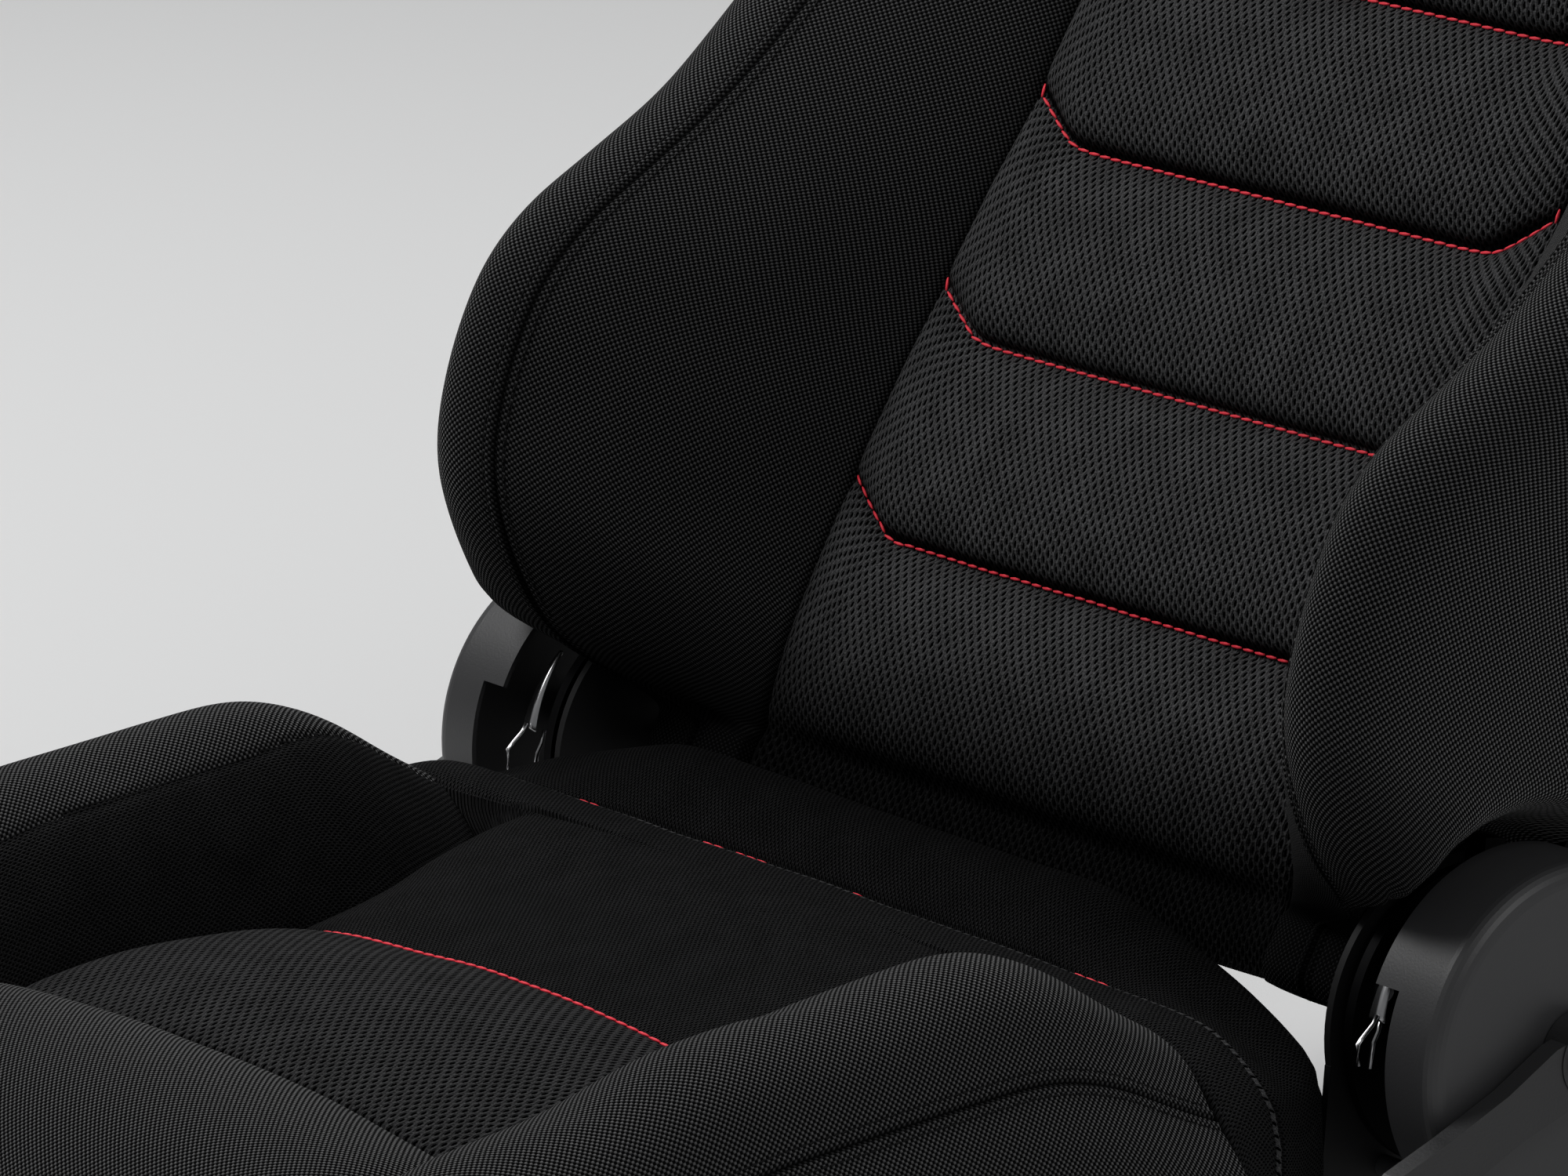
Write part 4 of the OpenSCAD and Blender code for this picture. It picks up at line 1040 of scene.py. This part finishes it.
def thigh_section(place):
    crest = crest_height - smooth(crest_drops, place)
    a, o = cushion_inner, cushion_outer
    k = (o - a) / drawn_width
    corners = [(a, 5), (a, crest * 0.45), (a + 12 * k, crest * 0.74), (a + 34 * k, crest * 0.96),
               (a + 55 * k, crest), (a + 76 * k, crest * 0.93), (a + 91 * k, crest * 0.74),
               (o - 1, crest * 0.48), (o - 3, 14), (o - 22 * k, 0), (a + 14, 0)]
    return [Vector((max(x, a), cushion_nose_y + place, cushion_base + max(z, 0))) * MM
            for x, z in round_ring(corners, ring_steps)]


crest_places = [0, 1, 2.5, 5, 8, 12, 16, 21, 27, 33] + [40 + 7.5 * k for k in range(41)]
crest_places += [344, 347, 349.5, 351, crest_length]
crest_scale = (side_high.y - side_low.y) / MM / crest_length
crest_rings = [thigh_section(p * crest_scale) for p in crest_places]
front_end = dome(crest_rings[0], Vector((0, -1, 0)), 0.003)[::-1]
rear_end = dome(crest_rings[-1], Vector((0, 1, 0)), 0.002)
crest_stations = [0] * len(front_end) + crest_places + [crest_length] * len(rear_end)
cushion_bolster = skin("cushion_bolster_cover_left", front_end + crest_rings + rear_end,
                       crest_seam * ring_steps, crest_wrap * ring_steps, crest_stations)
places, away, cos = (values_of(cushion_bolster, "station"), values_of(cushion_bolster, "seam_away"),
                     points_of(cushion_bolster))
held = ((cos[:, 2] < (cushion_base + 22) * MM) | (cos[:, 0] < (cushion_inner + 8) * MM) | (places < 4)
        | (places > 346) | (away < held_seam))
swelled = fill(cushion_bolster, held, 0.005)
refine(cushion_bolster, 2)


def panel_edge(place):
    """Distance from the felled seam, down the inner slope, at which the mesh panel starts."""
    return 0.088 - 0.022 * fade(place, 250, 345)


edges = [panel_edge(place) for place in values_of(cushion_bolster, "station")]
from_edge = values_of(cushion_bolster, "seam_away") - edges
on_inner_slope = points_of(cushion_bolster)[:, 0] < inner_slope_end * MM
# The felled seam's crease gets painted shade.
sew_bolster(cushion_bolster, -0.0012 * bell(from_edge, 0.0018) * on_inner_slope, 23)
cushion_bolster_right = mirrored(cushion_bolster, "cushion_bolster_cover_right")
dress(cushion_bolster, woven_cloth, "seat_base", "woven_cloth", "cushion_bolster_left")
dress(cushion_bolster_right, woven_cloth, "seat_base", "woven_cloth", "cushion_bolster_right")
for piece in (cushion_bolster, cushion_bolster_right):
    piece.data.materials.append(fine_mesh)
    uv_map, stations = piece.data.uv_layers["cloth"].data, values_of(piece, "station")
    for face in piece.data.polygons:
        inside = uv_map[face.loop_start].uv.x < -panel_edge(stations[face.vertices[0]])
        face.material_index = int(inside)
seam_stitches("cushion_bolster_stitches", crest_rings[2:-2], crest_seam * ring_steps,
              (cushion_bolster, cushion_bolster_right), "seat_base")
print("cushion bolsters swelled by up to", round(swelled * 1000, 1), "mm before the cap")

# %% [markdown]
# ## Head pad
#
# The head pad narrows to a rounded top. Two harness slots go right through it, so after the pad is filled two
# blocks are cut out of it, and the moulded bezels of the frame line the cuts.

# %% Head pad
head_shape = [(0, 0, 27), (0.03, 0, 31), (0.2, 0, 33), (0.45, 1, 34), (0.56, 8, 38), (0.7, 14, 47),
              (0.82, 22, 49), (0.91, 38, 44), (0.97, 60, 33), (1, 84, 18)]
head_foot, back_length = insert_top + end_gap, 765


def head_section(share):
    narrower = smooth([(s, n) for s, n, _ in head_shape], share)
    reach = smooth([(s, f) for s, _, f in head_shape], share)
    half = insert_edge(insert_top) - narrower - 15 * min(1, share * 2)
    up = head_foot + share * (back_length - head_foot)
    ring = []
    for t in column_shares:
        ring.append(on_back(t * half, reach - 4 * t**2 - 10 * abs(t) ** 14, up))
    for t in (1, 0.94, 0.5, 0, -0.5, -0.94, -1):
        ring.append(on_back(t * half, -(back_rear - 6 if abs(t) == 1 else back_rear), up))
    return ring


head_shares = [k / 40 for k in range(37)] + [0.92, 0.94, 0.96, 0.975, 0.985, 0.993, 1]
head_rings = [head_section(s) for s in head_shares]
head_end = dome(head_rings[-1], back_up, 0.006)
head_pad = skin("head_pad_cover", head_rings + head_end, insert_columns // 2, insert_columns + 4,
                head_shares + [1.0] * len(head_end))
fill(head_pad, (forward_of(points_of(head_pad)) < 6 * MM) | (values_of(head_pad, "station") < 0.42), 0.004)
refine(head_pad, 1)

# %% Harness slots
slot_x, slot_up, slot_w, slot_h, slot_wall, cut_length = 83, 578, 80, 60, 2.2, 240
block = Matrix.Diagonal((slot_w + 2 * slot_wall, cut_length, slot_h + 2 * slot_wall, 1))
cutter = bmesh.new()
for side in (-1, 1):
    bmesh.ops.create_cube(cutter, size=1, matrix=Matrix.Translation((side * slot_x, 0, slot_up)) @ block)
for vert in cutter.verts:
    vert.co = on_back(vert.co.x, vert.co.y, vert.co.z)
bmesh.ops.recalc_face_normals(cutter, faces=cutter.faces)
slot_cutter = new_piece("slot_cutter", cutter)
cut = head_pad.modifiers.new("slots", "BOOLEAN")
cut.object, cut.operation, cut.solver = slot_cutter, "DIFFERENCE", "EXACT"
settle(head_pad)
bpy.data.objects.remove(slot_cutter)
dress(head_pad, woven_cloth, "backrest", "woven_cloth", "head_pad")

# %% [markdown]
# ## Spring bands
#
# Inside each recliner cover the spiral spring ends in a bright band, bent round outside the arm's disc, and
# two wire ends go down from it. The band is a short arc of strip, and each wire is a small circle drawn along
# its bends.

# %% Spring bands and wires
def bent_wire(bm, points, radius):
    """Round wire through points, closed at both ends."""
    ring = bmesh.ops.create_circle(bm, segments=8, radius=radius)["verts"]
    edge_loops = [list({edge for vert in ring for edge in vert.link_edges})]
    last_point, last_turn = Vector(), Quaternion()
    for k, point in enumerate(points):
        if k:
            made = bmesh.ops.extrude_edge_only(bm, edges=edge_loops[-1])["geom"]
            ring = {g for g in made if isinstance(g, bmesh.types.BMVert)}
            edge_loops.append([g for g in made if isinstance(g, bmesh.types.BMEdge) and set(g.verts) <= ring])
        along = (points[min(k + 1, len(points) - 1)] - points[max(k - 1, 0)]).normalized()
        turn = along.to_track_quat("Z", "Y")
        for vert in ring:
            vert.co = point + turn @ (last_turn.inverted() @ (vert.co - last_point))
        last_point, last_turn = point, turn
    for end in (edge_loops[0], edge_loops[-1]):
        bmesh.ops.edgeloop_fill(bm, edges=end)


def at_axis(x, radius, angle):
    """Point round the recliner axis, with its angle in degrees from upright towards the rear."""
    g = math.radians(angle)
    return recline_axis + Vector((x, radius * math.sin(g), radius * math.cos(g))) * MM


band_x, band_width, band_taper, band_radius, band_middle, band_turn = 241, 5, 6, 55.6, -60, 34
wires = ((242, ((120, 189), (118, 186), (114, 183), (110.8, 180), (111, 172))),
         (238, ((126, 186), (124.5, 181), (122.3, 177.5), (120.5, 168))))


def spring_band(name, side):
    bm = bmesh.new()
    bmesh.ops.create_grid(bm, x_segments=24, y_segments=1, size=0.5)
    for vert in bm.verts:
        beside = band_x + (band_width - band_taper * vert.co.x) * vert.co.y
        vert.co = at_axis(side * beside, band_radius, band_middle + band_turn * vert.co.x)
    bmesh.ops.solidify(bm, geom=bm.faces[:], thickness=0.0011)
    for x, points in wires:
        bent_wire(bm, [Vector((side * x, y, z)) * MM for y, z in points], 0.0008)
    bmesh.ops.recalc_face_normals(bm, faces=bm.faces)
    for face in bm.faces:
        face.smooth = len(face.verts) == 4
    band = new_piece(name, bm)
    band.data.materials.append(spring_steel)
    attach(band, "seat_base")
    return band


bands = [spring_band(f"spring_band_{name}", side) for name, side in (("left", 1), ("right", -1))]
print("made", len(bands), "spring bands,", len(bands[0].data.polygons), "faces each")

# %% [markdown]
# ## Floor and light
#
# A plain pale floor and three large soft lamps, as in a small studio: a key light in front on the sitter's
# right, a fill light from the left, and a rim light from behind on the right that picks out the far edges.
# Black cloth needs large lamps, because only their broad reflection shows its weave.

# %% Floor and light
disc = bmesh.new()
bmesh.ops.create_circle(disc, cap_ends=True, segments=96, radius=14)
floor = new_piece("floor", disc)
floor.data.materials.append(finish("floor_paint", (0.8, 0.8, 0.8), 0.9, gloss=0.1)[0])
floor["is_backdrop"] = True
seat_middle = Vector((0, 0, 0.4))


def lamp(name, azimuth, elevation, distance, size, power):
    """Square soft lamp that faces the seat, at an angle round it and above the floor."""
    light = bpy.data.lights.new(name, "AREA")
    light.shape, light.size, light.energy = "SQUARE", size, power
    lamp_object = bpy.data.objects.new(name, light)
    a, e = math.radians(azimuth), math.radians(elevation)
    away = Vector((math.sin(a) * math.cos(e), -math.cos(a) * math.cos(e), math.sin(e)))
    lamp_object.location = seat_middle + away * distance
    lamp_object.rotation_euler = (-away).to_track_quat("-Z", "Y").to_euler()
    bpy.context.scene.collection.objects.link(lamp_object)


lamp("key", -50, 50, 3.2, 1.4, 64)
lamp("fill", 100, 40, 3.6, 2.0, 30)
lamp("rim", -120, 40, 3.4, 1.8, 26)
world = bpy.data.worlds.new("studio")
world.use_nodes = True
world.node_tree.nodes["Background"].inputs["Color"].default_value = (0.82, 0.83, 0.84, 1)
world.node_tree.nodes["Background"].inputs["Strength"].default_value = 0.24
bpy.context.scene.world = world
bpy.context.scene.view_settings.view_transform = "Standard"

# %% [markdown]
# ## Size
#
# The box round the dressed seat is printed beside the box of the bare frame, so that anyone can see how far
# the padding stands past it.

# %% Measure the dressed seat
dressed_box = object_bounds()
for name, box in (("cad", cad_box), ("dressed", dressed_box)):
    print(name, [[round(x, 3) for x in corner] for corner in box])
